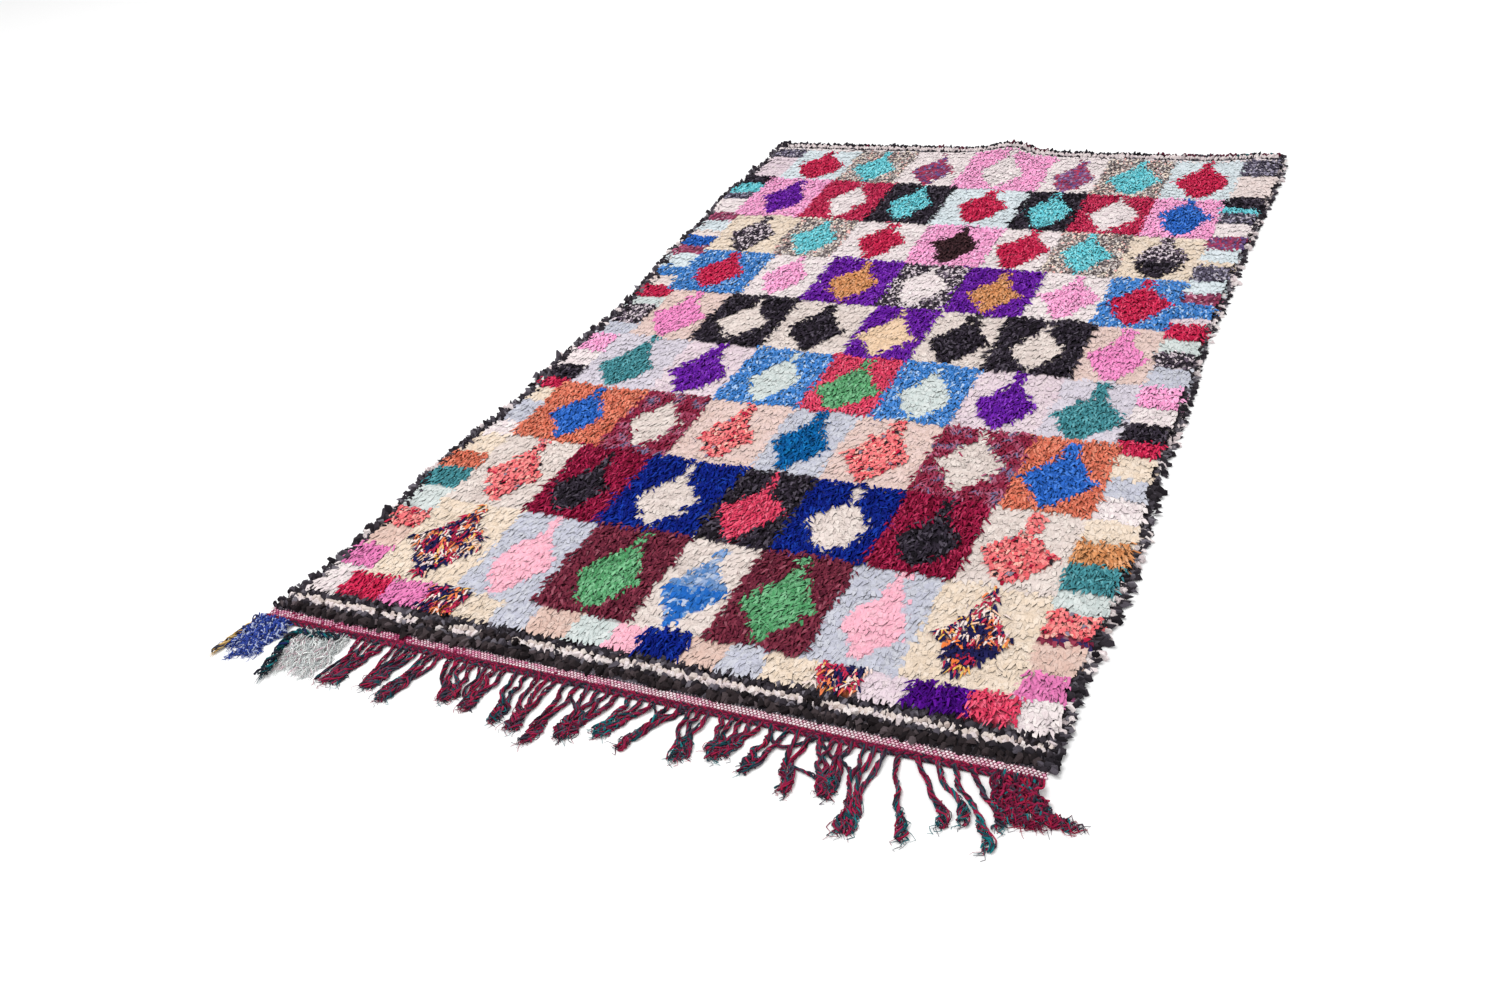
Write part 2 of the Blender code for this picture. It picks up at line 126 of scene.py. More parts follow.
# cloths: hues with their shares, where they aren't the usual ones. "patch" is the size of one hue's patches
# in metres, and "strips" the width and length of the strips that share a hue. With neither, every rag differs
usualShares = (5, 3, 2)
cloths = {
    "ivory": {"hues": ["#DFD3D3", "#DACCCD", "#E3D9D7", "#D1C3C5"], "shares": [5, 4, 3, 1]},
    "oldIvory": {"hues": ["#D5C7C1", "#CEC0B9", "#DACEC7", "#C5B6B0"], "shares": [4, 4, 3, 1]},
    "cream": {"hues": ["#DCCAB8", "#D9C6B2", "#DFCFBF", "#D6C2AD"], "shares": [5, 4, 3, 1]},
    "butter": {"hues": ["#DEBFA0", "#DBBA9A", "#E1C4A8", "#D8B796"], "shares": [5, 4, 3, 1]},
    "mist": {"hues": ["#C6BFCA", "#C2BBC6", "#CBC4CD"], "shares": [4, 3, 3]},
    "sky": {"hues": ["#B7B8C4", "#B3B4C2", "#BCBDC6"], "shares": [4, 3, 3]},
    "babyPink": {"hues": ["#EBAABB", "#EBB0BE", "#E9A4B6"]},
    "maroon": {"hues": ["#6E2839", "#5A1E2F", "#7E3546", "#8C4B59"], "shares": [5, 4, 2, 0.6]},
    "green": {"hues": ["#61A071", "#4B8F5D", "#78B487"]},
    "denim": {
        "hues": ["#1D5DAE", "#2F6BB5", "#7193C0", "#ADB7CD"],
        "shares": [6, 4, 1.4, 0.8],
        "patch": 0.016,
    },
    "paleDenim": {
        "hues": ["#6485B4", "#8499BE", "#4A76AE", "#A4B1C8"],
        "shares": [5, 4, 3, 2],
        "patch": 0.014,
    },
    "navy": {"hues": ["#0A217F", "#06176A", "#143495"], "shares": [5, 4, 2]},
    "black": {"hues": ["#2E2732", "#18141A", "#4D4651"], "shares": [5, 4, 2]},
    "charcoal": {"hues": ["#373238", "#262227", "#4E4951", "#6E6971"], "shares": [5, 4, 3, 1.4]},
    "warmBlack": {"hues": ["#2E2729", "#201B1D", "#403739", "#554B4E"], "shares": [5, 4, 3, 1.4]},
    "endMix": {"hues": ["#29262C", "#1B191E", "#5A2033", "#3E3B44"], "shares": [5, 3, 2, 1], "patch": 0.10},
    "coral": {"hues": ["#DA4562", "#C83253", "#E8627C"]},
    "red": {"hues": ["#CF2B52", "#B81A42", "#E0486A"], "shares": [5, 4, 2]},
    "burgundy": {"hues": ["#8F163C", "#6C0C29", "#AC2F52"], "shares": [5, 4, 2]},
    "wine": {"hues": ["#89253F", "#9A3E58", "#AC627C", "#6E6486"], "shares": [5, 4, 2, 1], "patch": 0.028},
    "salmon": {
        "hues": ["#E57276", "#E98B87", "#DD5F64", "#E7AFA1", "#282024", "#827A8B", "#AE1A3A"],
        "shares": [6, 5, 4, 1, 1, 0.6, 0.8],
        "patch": 0.015,
    },
    "rust": {"hues": ["#D8755D", "#C7624B", "#E38B72"]},
    "ochre": {"hues": ["#D39160", "#C47F50", "#E2A579"]},
    "cobalt": {"hues": ["#2A61BA", "#1D50A2", "#4379D0"]},
    "tealBlue": {"hues": ["#045C9C", "#024C87", "#1370AE"]},
    "peach": {"hues": ["#D3BAB2", "#D7BEB8", "#CFB4AB", "#D3B7B1"], "shares": [4, 4, 2, 1]},
    "shell": {"hues": ["#DCCCC8", "#DFD0CC", "#D8C6C1"], "shares": [4, 3, 2]},
    "tealGreen": {"hues": ["#458891", "#36747D", "#5FA2AA"]},
    "palePink": {"hues": ["#D3C1C9", "#D7C6CD", "#CFBBC5", "#D9C9CD"], "shares": [4, 3, 2, 2]},
    "purple": {"hues": ["#6A20A0", "#57148D", "#8039B5"], "shares": [5, 4, 2]},
    "deepPurple": {"hues": ["#480479", "#3A0268", "#5A118F"], "shares": [5, 4, 2]},
    "midBlue": {"hues": ["#447FC8", "#3370B6", "#6E9CD6", "#A3BFE2"], "shares": [5, 4, 2, 1.2]},
    "mint": {"hues": ["#C3CBC9", "#CAD0CE", "#BCC6C4"]},
    "iceMint": {"hues": ["#CAD4D8", "#D2DADF", "#C0CBD0"]},
    "hotPink": {"hues": ["#EA88BF", "#EE93C5", "#E57FB7"]},
    "turquoise": {"hues": ["#6ECBD7", "#56B9C6", "#8FDEE5"]},
    "pink": {"hues": ["#F2A2CD", "#EA92C1", "#F5B3D7"]},
    "orchid": {"hues": ["#DA77AD", "#D470A7", "#DF82B4"]},
    "brownBlack": {"hues": ["#382226", "#462C30", "#28181C"]},
    "tan": {"hues": ["#CFB1A5", "#D3B8AD", "#C9A99D"]},
    "pepper": {"hues": ["#2E2730", "#CDBFC6", "#665868"], "shares": [5.4, 3.2, 1.8]},
    "plum": {"hues": ["#6A2038", "#352A56", "#8C3648"]},
    "smoke": {
        "hues": ["#847877", "#CAC0BC", "#5A5154", "#E2AEA8", "#E6D5C4"],
        "shares": [4, 4, 2.4, 1.3, 2.0],
    },
    "heather": {"hues": ["#873759", "#A63853", "#60497C", "#8F779B"], "shares": [4, 3, 3, 1.4]},
    "berry": {"hues": ["#86354F", "#A65674", "#653048", "#C9A2B2"], "shares": [4, 3, 3, 1.2]},
    "slate": {"hues": ["#524C5E", "#8F899D", "#36323D", "#B8B1BB"], "shares": [4, 3, 3, 1.5]},
    "confetti": {
        "hues": ["#1F1F4C", "#E57F50", "#E8B65E", "#B62A4C", "#E6D3CC", "#EFC0A6"],
        "shares": [5.8, 2.6, 1.4, 3.2, 3.0, 1.2],
        "strips": (0.0046, 0.024),
    },
    "confettiDark": {
        "hues": ["#1C1C4A", "#E8793E", "#B02647", "#DCC8C6"],
        "shares": [17, 1.2, 1.0, 1.2],
        "strips": (0.010, 0.013),
    },
    "madder": {"hues": ["#C62F54", "#AE2047", "#D84B6B"], "shares": [5, 4, 2]},
    "cornerMix": {"hues": ["#5A2033", "#124A4E", "#29262C"], "shares": [3, 3, 2], "patch": 0.020},
}
clothNames = list(cloths)

# the chart: where the lines between its rows meet the rug's two sides
rowEdges = [
    (0.175, 0.165), (0.436, 0.425), (0.694, 0.654), (0.930, 0.908), (1.178, 1.143), (1.430, 1.386),
    (1.668, 1.630), (1.910, 1.870), (2.185, 2.108), (2.412, 2.418),
]
# each row from the fringe on: its columns' edges, and the ground and figure of its left four cells. The right
# three mirror them, except where rightCells says otherwise
rows = [
    {
        "edges": [0.105, 0.312, 0.488, 0.692, 0.846, 1.032, 1.196, 1.390],
        "cells": [("cream", "confetti"), ("sky", "babyPink"), ("maroon", "green"), ("oldIvory", "denim")],
        "tip": 0.16, "waist": 0.43, "plump": 0.88, "widths": {0: 1.35},
    },
    {
        "edges": [0.105, 0.302, 0.476, 0.690, 0.852, 1.040, 1.210, 1.386],
        "cells": [("oldIvory", "salmon"), ("burgundy", "black"), ("navy", "oldIvory"), ("black", "coral")],
        "tip": 0.34, "waist": 0.42, "plump": 0.74,
    },
    {
        "edges": [0.105, 0.330, 0.495, 0.695, 0.848, 1.036, 1.222, 1.390],
        "cells": [("rust", "cobalt"), ("wine", "oldIvory"), ("peach", "salmon"), ("sky", "tealBlue")],
        "tip": 0.16, "waist": 0.46, "plump": 0.84,
    },
    {
        "edges": [0.115, 0.320, 0.498, 0.698, 0.864, 1.040, 1.224, 1.385],
        "cells": [("mist", "tealGreen"), ("palePink", "purple"), ("midBlue", "mint"), ("coral", "green")],
        "tip": 0.18, "waist": 0.40, "plump": 0.70,
    },
    {
        "edges": [0.135, 0.310, 0.496, 0.705, 0.864, 1.036, 1.230, 1.385],
        "cells": [("peach", "hotPink"), ("black", "oldIvory"), ("oldIvory", "black"), ("purple", "butter")],
        "tip": 0.16, "waist": 0.42, "plump": 0.74,
    },
    {
        "edges": [0.110, 0.318, 0.496, 0.692, 0.866, 1.050, 1.218, 1.388],
        "cells": [("midBlue", "red"), ("ivory", "pink"), ("purple", "ochre"), ("pepper", "ivory")],
        "tip": 0.18, "waist": 0.48, "plump": 0.72,
    },
    {
        "edges": [0.100, 0.300, 0.470, 0.680, 0.880, 1.036, 1.212, 1.390],
        "cells": [("cream", "pepper"), ("smoke", "turquoise"), ("ivory", "red"), ("pink", "brownBlack")],
        "tip": 0.14, "waist": 0.50, "plump": 0.70,
    },
    {
        "edges": [0.078, 0.280, 0.480, 0.662, 0.884, 1.040, 1.222, 1.396],
        "cells": [("pink", "purple"), ("madder", "ivory"), ("black", "turquoise"), ("iceMint", "red")],
        "rightCells": {6: ("pink", "cobalt")},
        "tip": 0.14, "waist": 0.50, "plump": 0.70,
    },
    {
        "edges": [0.098, 0.288, 0.466, 0.648, 0.890, 1.046, 1.222, 1.404],
        "cells": [("iceMint", "red"), ("smoke", "turquoise"), ("ivory", "heather"), ("pink", "ivory")],
        "tip": 0.18, "waist": 0.46, "plump": 0.66,
    },
]
# the squares along the near end and the bars along the sides: each cloth, and where it ends
squares = [
    ("ivory", 0.085), ("red", 0.180), ("orchid", 0.278), ("confetti", 0.358), ("cream", 0.440),
    ("sky", 0.515), ("tan", 0.602), ("mint", 0.682), ("babyPink", 0.738), ("navy", 0.828),
    ("tan", 0.900), ("sky", 0.978), ("cream", 1.066), ("confetti", 1.148), ("palePink", 1.225),
    ("deepPurple", 1.325), ("coral", 1.405), ("ivory", 1.600),
]
leftBars = [
    ("ivory", 0.190), ("orchid", 0.260), ("tan", 0.325), ("salmon", 0.385), ("mint", 0.475),
    ("tealGreen", 0.542), ("rust", 0.605), ("cream", 0.690), ("ivory", 0.750), ("sky", 0.840),
    ("cream", 0.900), ("red", 0.945), ("black", 1.000), ("ivory", 1.080), ("pink", 1.165),
    ("sky", 1.235), ("pepper", 1.325), ("mint", 1.375), ("red", 1.440), ("shell", 1.505),
    ("midBlue", 1.555), ("iceMint", 1.635), ("berry", 1.695), ("cobalt", 1.750), ("shell", 1.790),
    ("iceMint", 1.860), ("berry", 1.920), ("ivory", 2.020), ("slate", 2.060), ("turquoise", 2.130),
    ("black", 2.190), ("palePink", 2.350), ("slate", 2.600),
]
rightBars = [
    ("ivory", 0.170), ("orchid", 0.230), ("tan", 0.308), ("plum", 0.324), ("salmon", 0.385),
    ("mint", 0.445), ("tealGreen", 0.520), ("ochre", 0.590), ("cream", 0.660), ("ivory", 0.730),
    ("sky", 0.795),
    ("cream", 0.880), ("red", 0.925), ("black", 0.990), ("ivory", 1.060), ("pink", 1.140),
    ("sky", 1.220), ("pepper", 1.290), ("mint", 1.350), ("red", 1.420), ("palePink", 1.455),
    ("midBlue", 1.525), ("berry", 1.580), ("iceMint", 1.640), ("slate", 1.720), ("cream", 1.750),
    ("iceMint", 1.820), ("heather", 1.900), ("ivory", 1.970), ("slate", 2.030), ("turquoise", 2.070),
    ("black", 2.135), ("shell", 2.300), ("slate", 2.600),
]

# figures that are partly another cloth: their row and column, from 0, and the shares of their height
secondCloths = [
    {"row": 0, "column": 3, "cloth": "paleDenim", "from": 0.50, "to": 1.0},
    {"row": 0, "column": 0, "cloth": "confettiDark", "from": 0.10, "to": 0.22},
    {"row": 0, "column": 6, "cloth": "confettiDark", "from": 0.16, "to": 0.38},
    {"row": 0, "column": 6, "cloth": "confettiDark", "from": 0.46, "to": 0.53},
    {"row": 6, "column": 6, "cloth": "black", "from": 0.0, "to": 0.36},
]

# the chart was read at floor level from a standing eye, and the top of the pile shows a little behind it
chartGrow = 1.0082
chartShift = {"across": -0.0154, "along": 0.011}

# the lozenges, in metres or as shares of their cell's height. Where two values stand, each lozenge differs
lozenge = {
    "half": (0.060, 0.071),      # half its width
    "halfMost": 0.44,            # of its cell's width
    "shift": 0.006,
    "lean": 0.010,
    "waistVaries": 0.04,
    "plumpVaries": (0.9, 1.15),
    "tipVaries": (0.8, 1.2),
    "foot": (0.02, 0.06),
    "top": (0.94, 0.99),
    "tipHalf": 0.0105,
    "line": 0.010,               # between two lines of knots
    "early": 0.0036,             # how early or late a line's last rag ends
}


def clothIndex(name):
    return clothNames.index(name)


def alongBands(bands, at):
    ends = np.array([end for _, end in bands])
    names = np.array([clothIndex(name) for name, _ in bands])
    return names[np.clip(np.searchsorted(ends, at), 0, len(ends) - 1)]


def lozengeHalf(t, waist, plump, tip, tipHalf):
    # half the width at a share t of the height, as a share of the widest: like a pear with a thin tip
    low = np.clip(t / waist, 0, 1) ** plump
    high = np.clip((1 - tip * 0.5 - t) / (1 - tip * 0.5 - waist), 0, 1) ** 1.12
    body = np.where(t < waist, low, high)
    thin = tipHalf * ((t > waist) & (t < 1))
    return np.where((t > 0) & (t < 1), np.maximum(body, thin), 0)


def chart(across, along, rng):
    # which cloth the weaver knots at each place
    a = across * chartGrow + chartShift["across"]
    l = along * chartGrow + chartShift["along"]
    # the chart's lines waver, and single rags stray over them
    spots = spotsOf(a, l)
    a = a + 0.005 * wander(spots, 22, 3.1) + rng.normal(0, 0.0016, a.size)
    l = l + 0.006 * wander(spots, 18, 8.4) + rng.normal(0, 0.0022, l.size)
    level = np.array(rowEdges)
    lines = level[:, :1] + (level[:, 1:] - level[:, :1]) * a[None, :] / rug["width"]
    row = (l[None, :] > lines).sum(axis=0) - 1
    found = alongBands(squares, a)
    varied = np.random.default_rng(41)
    for r, about in enumerate(rows):
        here = row == r
        low, high = lines[r], lines[r + 1]
        edges = about["edges"]
        found[here & (a < edges[0])] = alongBands(leftBars, l[here & (a < edges[0])])
        found[here & (a >= edges[-1])] = alongBands(rightBars, l[here & (a >= edges[-1])])
        for c in range(7):
            ground, figure = about["cells"][min(c, 6 - c)]
            ground, figure = about.get("rightCells", {}).get(c, (ground, figure))
            wide = edges[c + 1] - edges[c]
            middle = (edges[c] + edges[c + 1]) / 2 + varied.uniform(-lozenge["shift"], lozenge["shift"])
            lean = varied.uniform(-lozenge["lean"], lozenge["lean"])
            half = varied.uniform(*lozenge["half"]) * about.get("widths", {}).get(c, 1)
            half = min(lozenge["halfMost"] * wide, half)
            waist = about["waist"] + varied.uniform(-lozenge["waistVaries"], lozenge["waistVaries"])
            plump = about["plump"] * varied.uniform(*lozenge["plumpVaries"])
            tip = about["tip"] * varied.uniform(*lozenge["tipVaries"])
            foot, top = varied.uniform(*lozenge["foot"]), varied.uniform(*lozenge["top"])
            cell = here & (a >= edges[c]) & (a < edges[c + 1])
            found[cell] = clothIndex(ground)
            t = ((l - low) / (high - low) - foot) / (top - foot)
            # every knotted line ends a rag early or late, so the sides are stepped
            step = np.round(l / lozenge["line"]).astype(int)
            early = varied.normal(0, lozenge["early"], (2, 400))
            reach = half * lozengeHalf(t, waist, plump, tip, lozenge["tipHalf"] / half)
            side = a - middle - lean * (t - 0.5)
            reach = reach + np.where(side > 0, early[0][step % 400], early[1][step % 400]) * (reach > 0)
            inside = cell & (np.abs(side) < reach)
            found[inside] = clothIndex(figure)
            for second in secondCloths:
                if (second["row"], second["column"]) == (r, c):
                    found[inside & (t > second["from"]) & (t < second["to"])] = clothIndex(second["cloth"])
    found[row >= len(rows)] = clothIndex("ivory")
    return found


def dyed(cloth, spots, rng):
    # a colour for each rag of these cloths, as linear red, green, blue
    colors = np.zeros((len(cloth), 3))
    for index, name in enumerate(clothNames):
        mine = np.flatnonzero(cloth == index)
        if not len(mine):
            continue
        about = cloths[name]
        hues = np.array([linear(hue) for hue in about["hues"]])
        shares = about.get("shares", usualShares)
        shares = np.cumsum(shares) / np.sum(shares)
        draw = rng.random(len(mine))
        if "patch" in about:
            field = wander(spots[mine], 1 / about["patch"], 5.0 + index)
            ranked = np.argsort(np.argsort(field)) / max(1, len(mine))
            draw = np.clip(ranked + rng.normal(0, 0.10, len(mine)), 0, 0.999)
        if "strips" in about:
            wide, tall = about["strips"]
            sway = spots[mine] + 0.003 * rng.normal(0, 0.5, (len(mine), 2))
            column = np.floor(sway[:, 0] / wide)
            line = np.floor(sway[:, 1] / tall + 0.37 * np.sin(column * 12.9))
            # large odd factors, so that every strip gets a share of its own that never changes
            draw = np.abs(np.sin(column * 127.1 + line * 311.7 + index) * 43758.5) % 1
        colors[mine] = hues[np.searchsorted(shares, draw)]
    depth = 1 - colors.mean(axis=1, keepdims=True)
    tone = 1 + rng.normal(0, 1, (len(cloth), 1)) * (0.015 + 0.13 * depth ** 3)
    # painted shade and light: each rag is darker where the pile dips and lighter where it rises, besides a
    # slow random tone
    tone = tone * (1 + 0.05 * wander(spots, 9, 2.2) + 0.045 * pileLumps(spots))[:, None]
    return np.clip(colors * tone, 0.002, 0.92)


# nodes

def addNode(tree, kind, links=(), **settings):
    # adds a node with its settings. links are (input, value or output socket)
    node = tree.nodes.new(kind)
    for name, value in settings.items():
        setattr(node, name, value)
    for name, value in links:
        if isinstance(value, bpy.types.NodeSocket):
            tree.links.new(value, node.inputs[name])
        else:
            node.inputs[name].default_value = value
    return node


def calculate(tree, operation, *values):
    return addNode(tree, "ShaderNodeMath", enumerate(values), operation=operation).outputs[0]


def calculateVector(tree, operation, *values):
    return addNode(tree, "ShaderNodeVectorMath", enumerate(values), operation=operation).outputs[0]


def combine(tree, x, y, z):
    return addNode(tree, "ShaderNodeCombineXYZ", [("X", x), ("Y", y), ("Z", z)]).outputs[0]


def noiseField(tree, coords, **settings):
    return addNode(tree, "ShaderNodeTexNoise", [("Vector", coords), *settings.items()]).outputs["Fac"]


def ranged(tree, value, low, high, atLow, atHigh):
    # takes low to high over to atLow to atHigh
    return addNode(tree, "ShaderNodeMapRange", [
        ("Value", value), ("From Min", low), ("From Max", high), ("To Min", atLow), ("To Max", atHigh),
    ]).outputs["Result"]


def ofPoint(tree, name, kind):
    # what a point of the mesh says under this name
    node = addNode(tree, "GeometryNodeInputNamedAttribute", [("Name", name)], data_type=kind)
    return node.outputs["Attribute"]


def anyBetween(tree, least, most, seed):
    # a random vector for each point
    node = addNode(tree, "FunctionNodeRandomValue", [
        (0, least), (1, most), ("Seed", seed),
    ], data_type="FLOAT_VECTOR")
    return node.outputs[0]


def newTree(name, sizes):
    # a Geometry Nodes tree with named inputs: it, its inputs and its last node
    tree = bpy.data.node_groups.new(name, "GeometryNodeTree")
    tree.interface.new_socket("Geometry", in_out="INPUT", socket_type="NodeSocketGeometry")
    for label, kind in sizes.items():
        tree.interface.new_socket(label, in_out="INPUT", socket_type="NodeSocket" + kind)
    tree.interface.new_socket("Geometry", in_out="OUTPUT", socket_type="NodeSocketGeometry")
    return tree, addNode(tree, "NodeGroupInput").outputs, addNode(tree, "NodeGroupOutput")


def finishTree(tree, geometry, material, made):
    # makes the shapes real and smooth, and gives them their material
    real = addNode(tree, "GeometryNodeRealizeInstances", [("Geometry", geometry)])
    shaded = addNode(tree, "GeometryNodeSetShadeSmooth", [("Geometry", real.outputs[0])])
    dressed = addNode(tree, "GeometryNodeSetMaterial", [
        ("Geometry", shaded.outputs[0]), ("Material", material),
    ])
    tree.links.new(dressed.outputs[0], made.inputs[0])
    return tree


def scatterTree():
    # sets a rag on every point, turned to the point's heading, with its own width, length and tilt
    tree, give, made = newTree("scatterRags", {
        "Rags": "Collection", "Cloth": "Material", "Width": "Float", "Length": "Float", "Height": "Float",
        "Spread": "Float", "Tilt": "Float", "Uneven": "Float", "Seed": "Int",
    })
    rags = addNode(tree, "GeometryNodeCollectionInfo", [
        ("Collection", give["Rags"]), ("Separate Children", True), ("Reset Children", True),
    ])
    lowTilt = calculate(tree, "MULTIPLY", give["Tilt"], -1.0)
    lowSpread = calculate(tree, "MULTIPLY", give["Spread"], -1.0)
    least = combine(tree, lowTilt, lowTilt, lowSpread)
    most = combine(tree, give["Tilt"], give["Tilt"], give["Spread"])
    wobble = anyBetween(tree, least, most, give["Seed"])
    heading = combine(tree, 0.0, 0.0, ofPoint(tree, "heading", "FLOAT"))
    small = calculate(tree, "SUBTRACT", 1.0, give["Uneven"])
    large = calculate(tree, "ADD", 1.0, give["Uneven"])
    vary = anyBetween(tree, small, large, calculate(tree, "ADD", give["Seed"], 7.0))
    size = combine(tree, give["Width"], give["Length"], give["Height"])
    varied = calculateVector(tree, "MULTIPLY", size, vary)
    choice = addNode(tree, "FunctionNodeRandomValue", [
        (4, 0), (5, 97), ("Seed", give["Seed"]),
    ], data_type="INT")
    placed = addNode(tree, "GeometryNodeInstanceOnPoints", [
        ("Points", give["Geometry"]), ("Instance", rags.outputs[0]), ("Pick Instance", True),
        ("Instance Index", choice.outputs[2]), ("Rotation", calculateVector(tree, "ADD", wobble, heading)),
        ("Scale", calculateVector(tree, "MULTIPLY", varied, ofPoint(tree, "cut", "FLOAT_VECTOR"))),
    ])
    return finishTree(tree, placed.outputs[0], give["Cloth"], made)


def yarnTree():
    # makes every line of edges a yarn, as thick as its points say
    tree, give, made = newTree("spinYarns", {"Wool": "Material", "Sides": "Int"})
    line = addNode(tree, "GeometryNodeMeshToCurve", [("Mesh", give["Geometry"])])
    ring = addNode(tree, "GeometryNodeCurvePrimitiveCircle", [
        ("Resolution", give["Sides"]), ("Radius", 1.0),
    ])
    tube = addNode(tree, "GeometryNodeCurveToMesh", [
        ("Curve", line.outputs[0]), ("Profile Curve", ring.outputs[0]),
        ("Scale", ofPoint(tree, "thick", "FLOAT")), ("Fill Caps", True),
    ])
    return finishTree(tree, tube.outputs[0], give["Wool"], made)


def setAttributes(mesh, values):
    for name, (kind, data) in values.items():
        attribute = mesh.attributes.new(name, kind, "POINT")
        field = {"FLOAT_COLOR": "color", "FLOAT_VECTOR": "vector"}.get(kind, "value")
        attribute.data.foreach_set(field, np.ascontiguousarray(data, np.float32).ravel())


def withAlpha(colors):
    return np.concatenate([colors, np.ones((len(colors), 1))], axis=1)


def newPiece(name, mesh):
    piece = bpy.data.objects.new(name, mesh)
    bpy.context.scene.collection.objects.link(piece)
    return piece


def runTree(name, mesh, tree, inputs):
    # runs a tree on a mesh and keeps the result as a plain mesh
    piece = newPiece(name, mesh)
    modifier = piece.modifiers.new("tree", "NODES")
    modifier.node_group = tree
    sockets = {item.name: item.identifier for item in tree.interface.items_tree if item.in_out == "INPUT"}
    for label, value in inputs.items():
        modifier[sockets[label]] = value
    depsgraph = bpy.context.evaluated_depsgraph_get()
    plain = bpy.data.meshes.new_from_object(piece.evaluated_get(depsgraph))
    plain.name = name
    spots = np.empty(len(plain.vertices) * 3, np.float32)
    plain.vertices.foreach_get("co", spots)
    spots[2::3] = np.maximum(spots[2::3], 0.0002)      # nothing dips into the floor
    plain.vertices.foreach_set("co", spots)
    piece.modifiers.clear()
    piece.data = plain
    bpy.data.meshes.remove(mesh)
    print(name, sum(len(face.vertices) - 2 for face in plain.polygons), "triangles")
    return piece


# materials

def newMaterial(name):
    material = bpy.data.materials.new(name)
    material.use_nodes = True
    return material, material.node_tree, material.node_tree.nodes["Principled BSDF"]


usualFinish = {"roughness": 0.95, "specular": 0.08, "sheen": 0.0}


def dyedCloth(name, finish):
    # dyed yarn or rag: the dye comes from the piece, broken up by fibres that are finish["fibre"] wide
    # and 1 / finish["grain"] times as long, lying along the rug
    # painted shade: each finish also says how dark the painted crease lines get
    finish = {**usualFinish, **finish}
    material, tree, shader = newMaterial(name)
    dye = addNode(tree, "ShaderNodeAttribute", attribute_name="dye").outputs["Color"]
    coords = addNode(tree, "ShaderNodeTexCoord").outputs["Object"]
    fine = 1 / finish["fibre"]
    lying = calculateVector(tree, "MULTIPLY", coords, (fine, fine * finish["grain"], fine))
    fibres = noiseField(tree, lying, Scale=1.0, Detail=3.0, Distortion=0.4)
    light = ranged(tree, fibres, 0.3, 0.7, 1 - finish["mottle"], 1 + finish["mottle"])
    # painted shade: short dark lines standing in for the shade in the cracks where the rags are matted
    # together, more of them in some areas than in others
    folding = calculateVector(tree, "MULTIPLY", coords, finish["folds"])
    folds = noiseField(tree, folding, Scale=1.0, Detail=2.0, Distortion=0.8)
    near = calculate(tree, "ABSOLUTE", calculate(tree, "SUBTRACT", folds, 0.5))
    area = noiseField(tree, coords, Scale=38.0)
    deepestCreaseShade = ranged(tree, area, 0.42, 0.60, 1.0, 1 - finish["paintedCreaseShade"])
    paintedCreaseShade = ranged(tree, near, 0.006, 0.034, deepestCreaseShade, 1.0)
    # the fibres' own mottle, times the painted crease shade
    shade = calculate(tree, "MULTIPLY", light, paintedCreaseShade)
    mottledWithCreaseShade = addNode(tree, "ShaderNodeVectorMath", [(0, dye), ("Scale", shade)], operation="SCALE")
    # light sinks into loose fibres, so a face is shaded partly as if it lay flat
    shape = addNode(tree, "ShaderNodeNewGeometry")
    softened = addNode(tree, "ShaderNodeMix", [
        ("Factor", finish["soft"]), (4, shape.outputs["Normal"]), (5, combine(tree, 0.0, 0.0, 1.0)),
    ], data_type="VECTOR")
    bump = addNode(tree, "ShaderNodeBump", [
        ("Height", fibres), ("Distance", finish["relief"]), ("Strength", 0.6),
        ("Normal", calculateVector(tree, "NORMALIZE", softened.outputs[1])),
    ])
    tree.links.new(mottledWithCreaseShade.outputs[0], shader.inputs["Base Color"])
    tree.links.new(bump.outputs[0], shader.inputs["Normal"])
    shader.inputs["Roughness"].default_value = finish["roughness"]
    shader.inputs["Specular IOR Level"].default_value = finish["specular"]
    shader.inputs["Sheen Weight"].default_value = finish["sheen"]
    shader.inputs["Sheen Roughness"].default_value = 0.5
    return material


# cotton jersey torn into strips: matt, and so soft that its folds show only as faint shade
cottonJerseyRag = dyedCloth("cottonJerseyRag", {
    "fibre": 0.0026, "grain": 0.22, "mottle": 0.09, "relief": 0.0007, "soft": 0.84, "folds": (65, 120, 65),
    "paintedCreaseShade": 0.42,
})
# the same cloth in broad folded strips, whose folds show more
foldedCottonRag = dyedCloth("foldedCottonRag", {
    "fibre": 0.0022, "grain": 0.5, "mottle": 0.14, "relief": 0.0006, "soft": 0.15, "folds": (90, 90, 90),
    "paintedCreaseShade": 0.3,
})
# spun wool: hairier than the rags, so the light breaks up more along it
spunWool = dyedCloth("spunWool", {
    "fibre": 0.0016, "grain": 1.0, "mottle": 0.30, "relief": 0.0006, "soft": 0.30, "folds": (200, 200, 200),
    "paintedCreaseShade": 0.15, "sheen": 0.04,
})
# the woven ground under the knots: dull and coarse, and hardly seen
wovenGround = dyedCloth("wovenGround", {
    "fibre": 0.0035, "grain": 1.0, "mottle": 0.20, "relief": 0.0008, "soft": 0.5, "folds": (90, 90, 90),
    "paintedCreaseShade": 0.2, "roughness": 0.97, "specular": 0.05,
})
print("materials made")


# rags to scatter

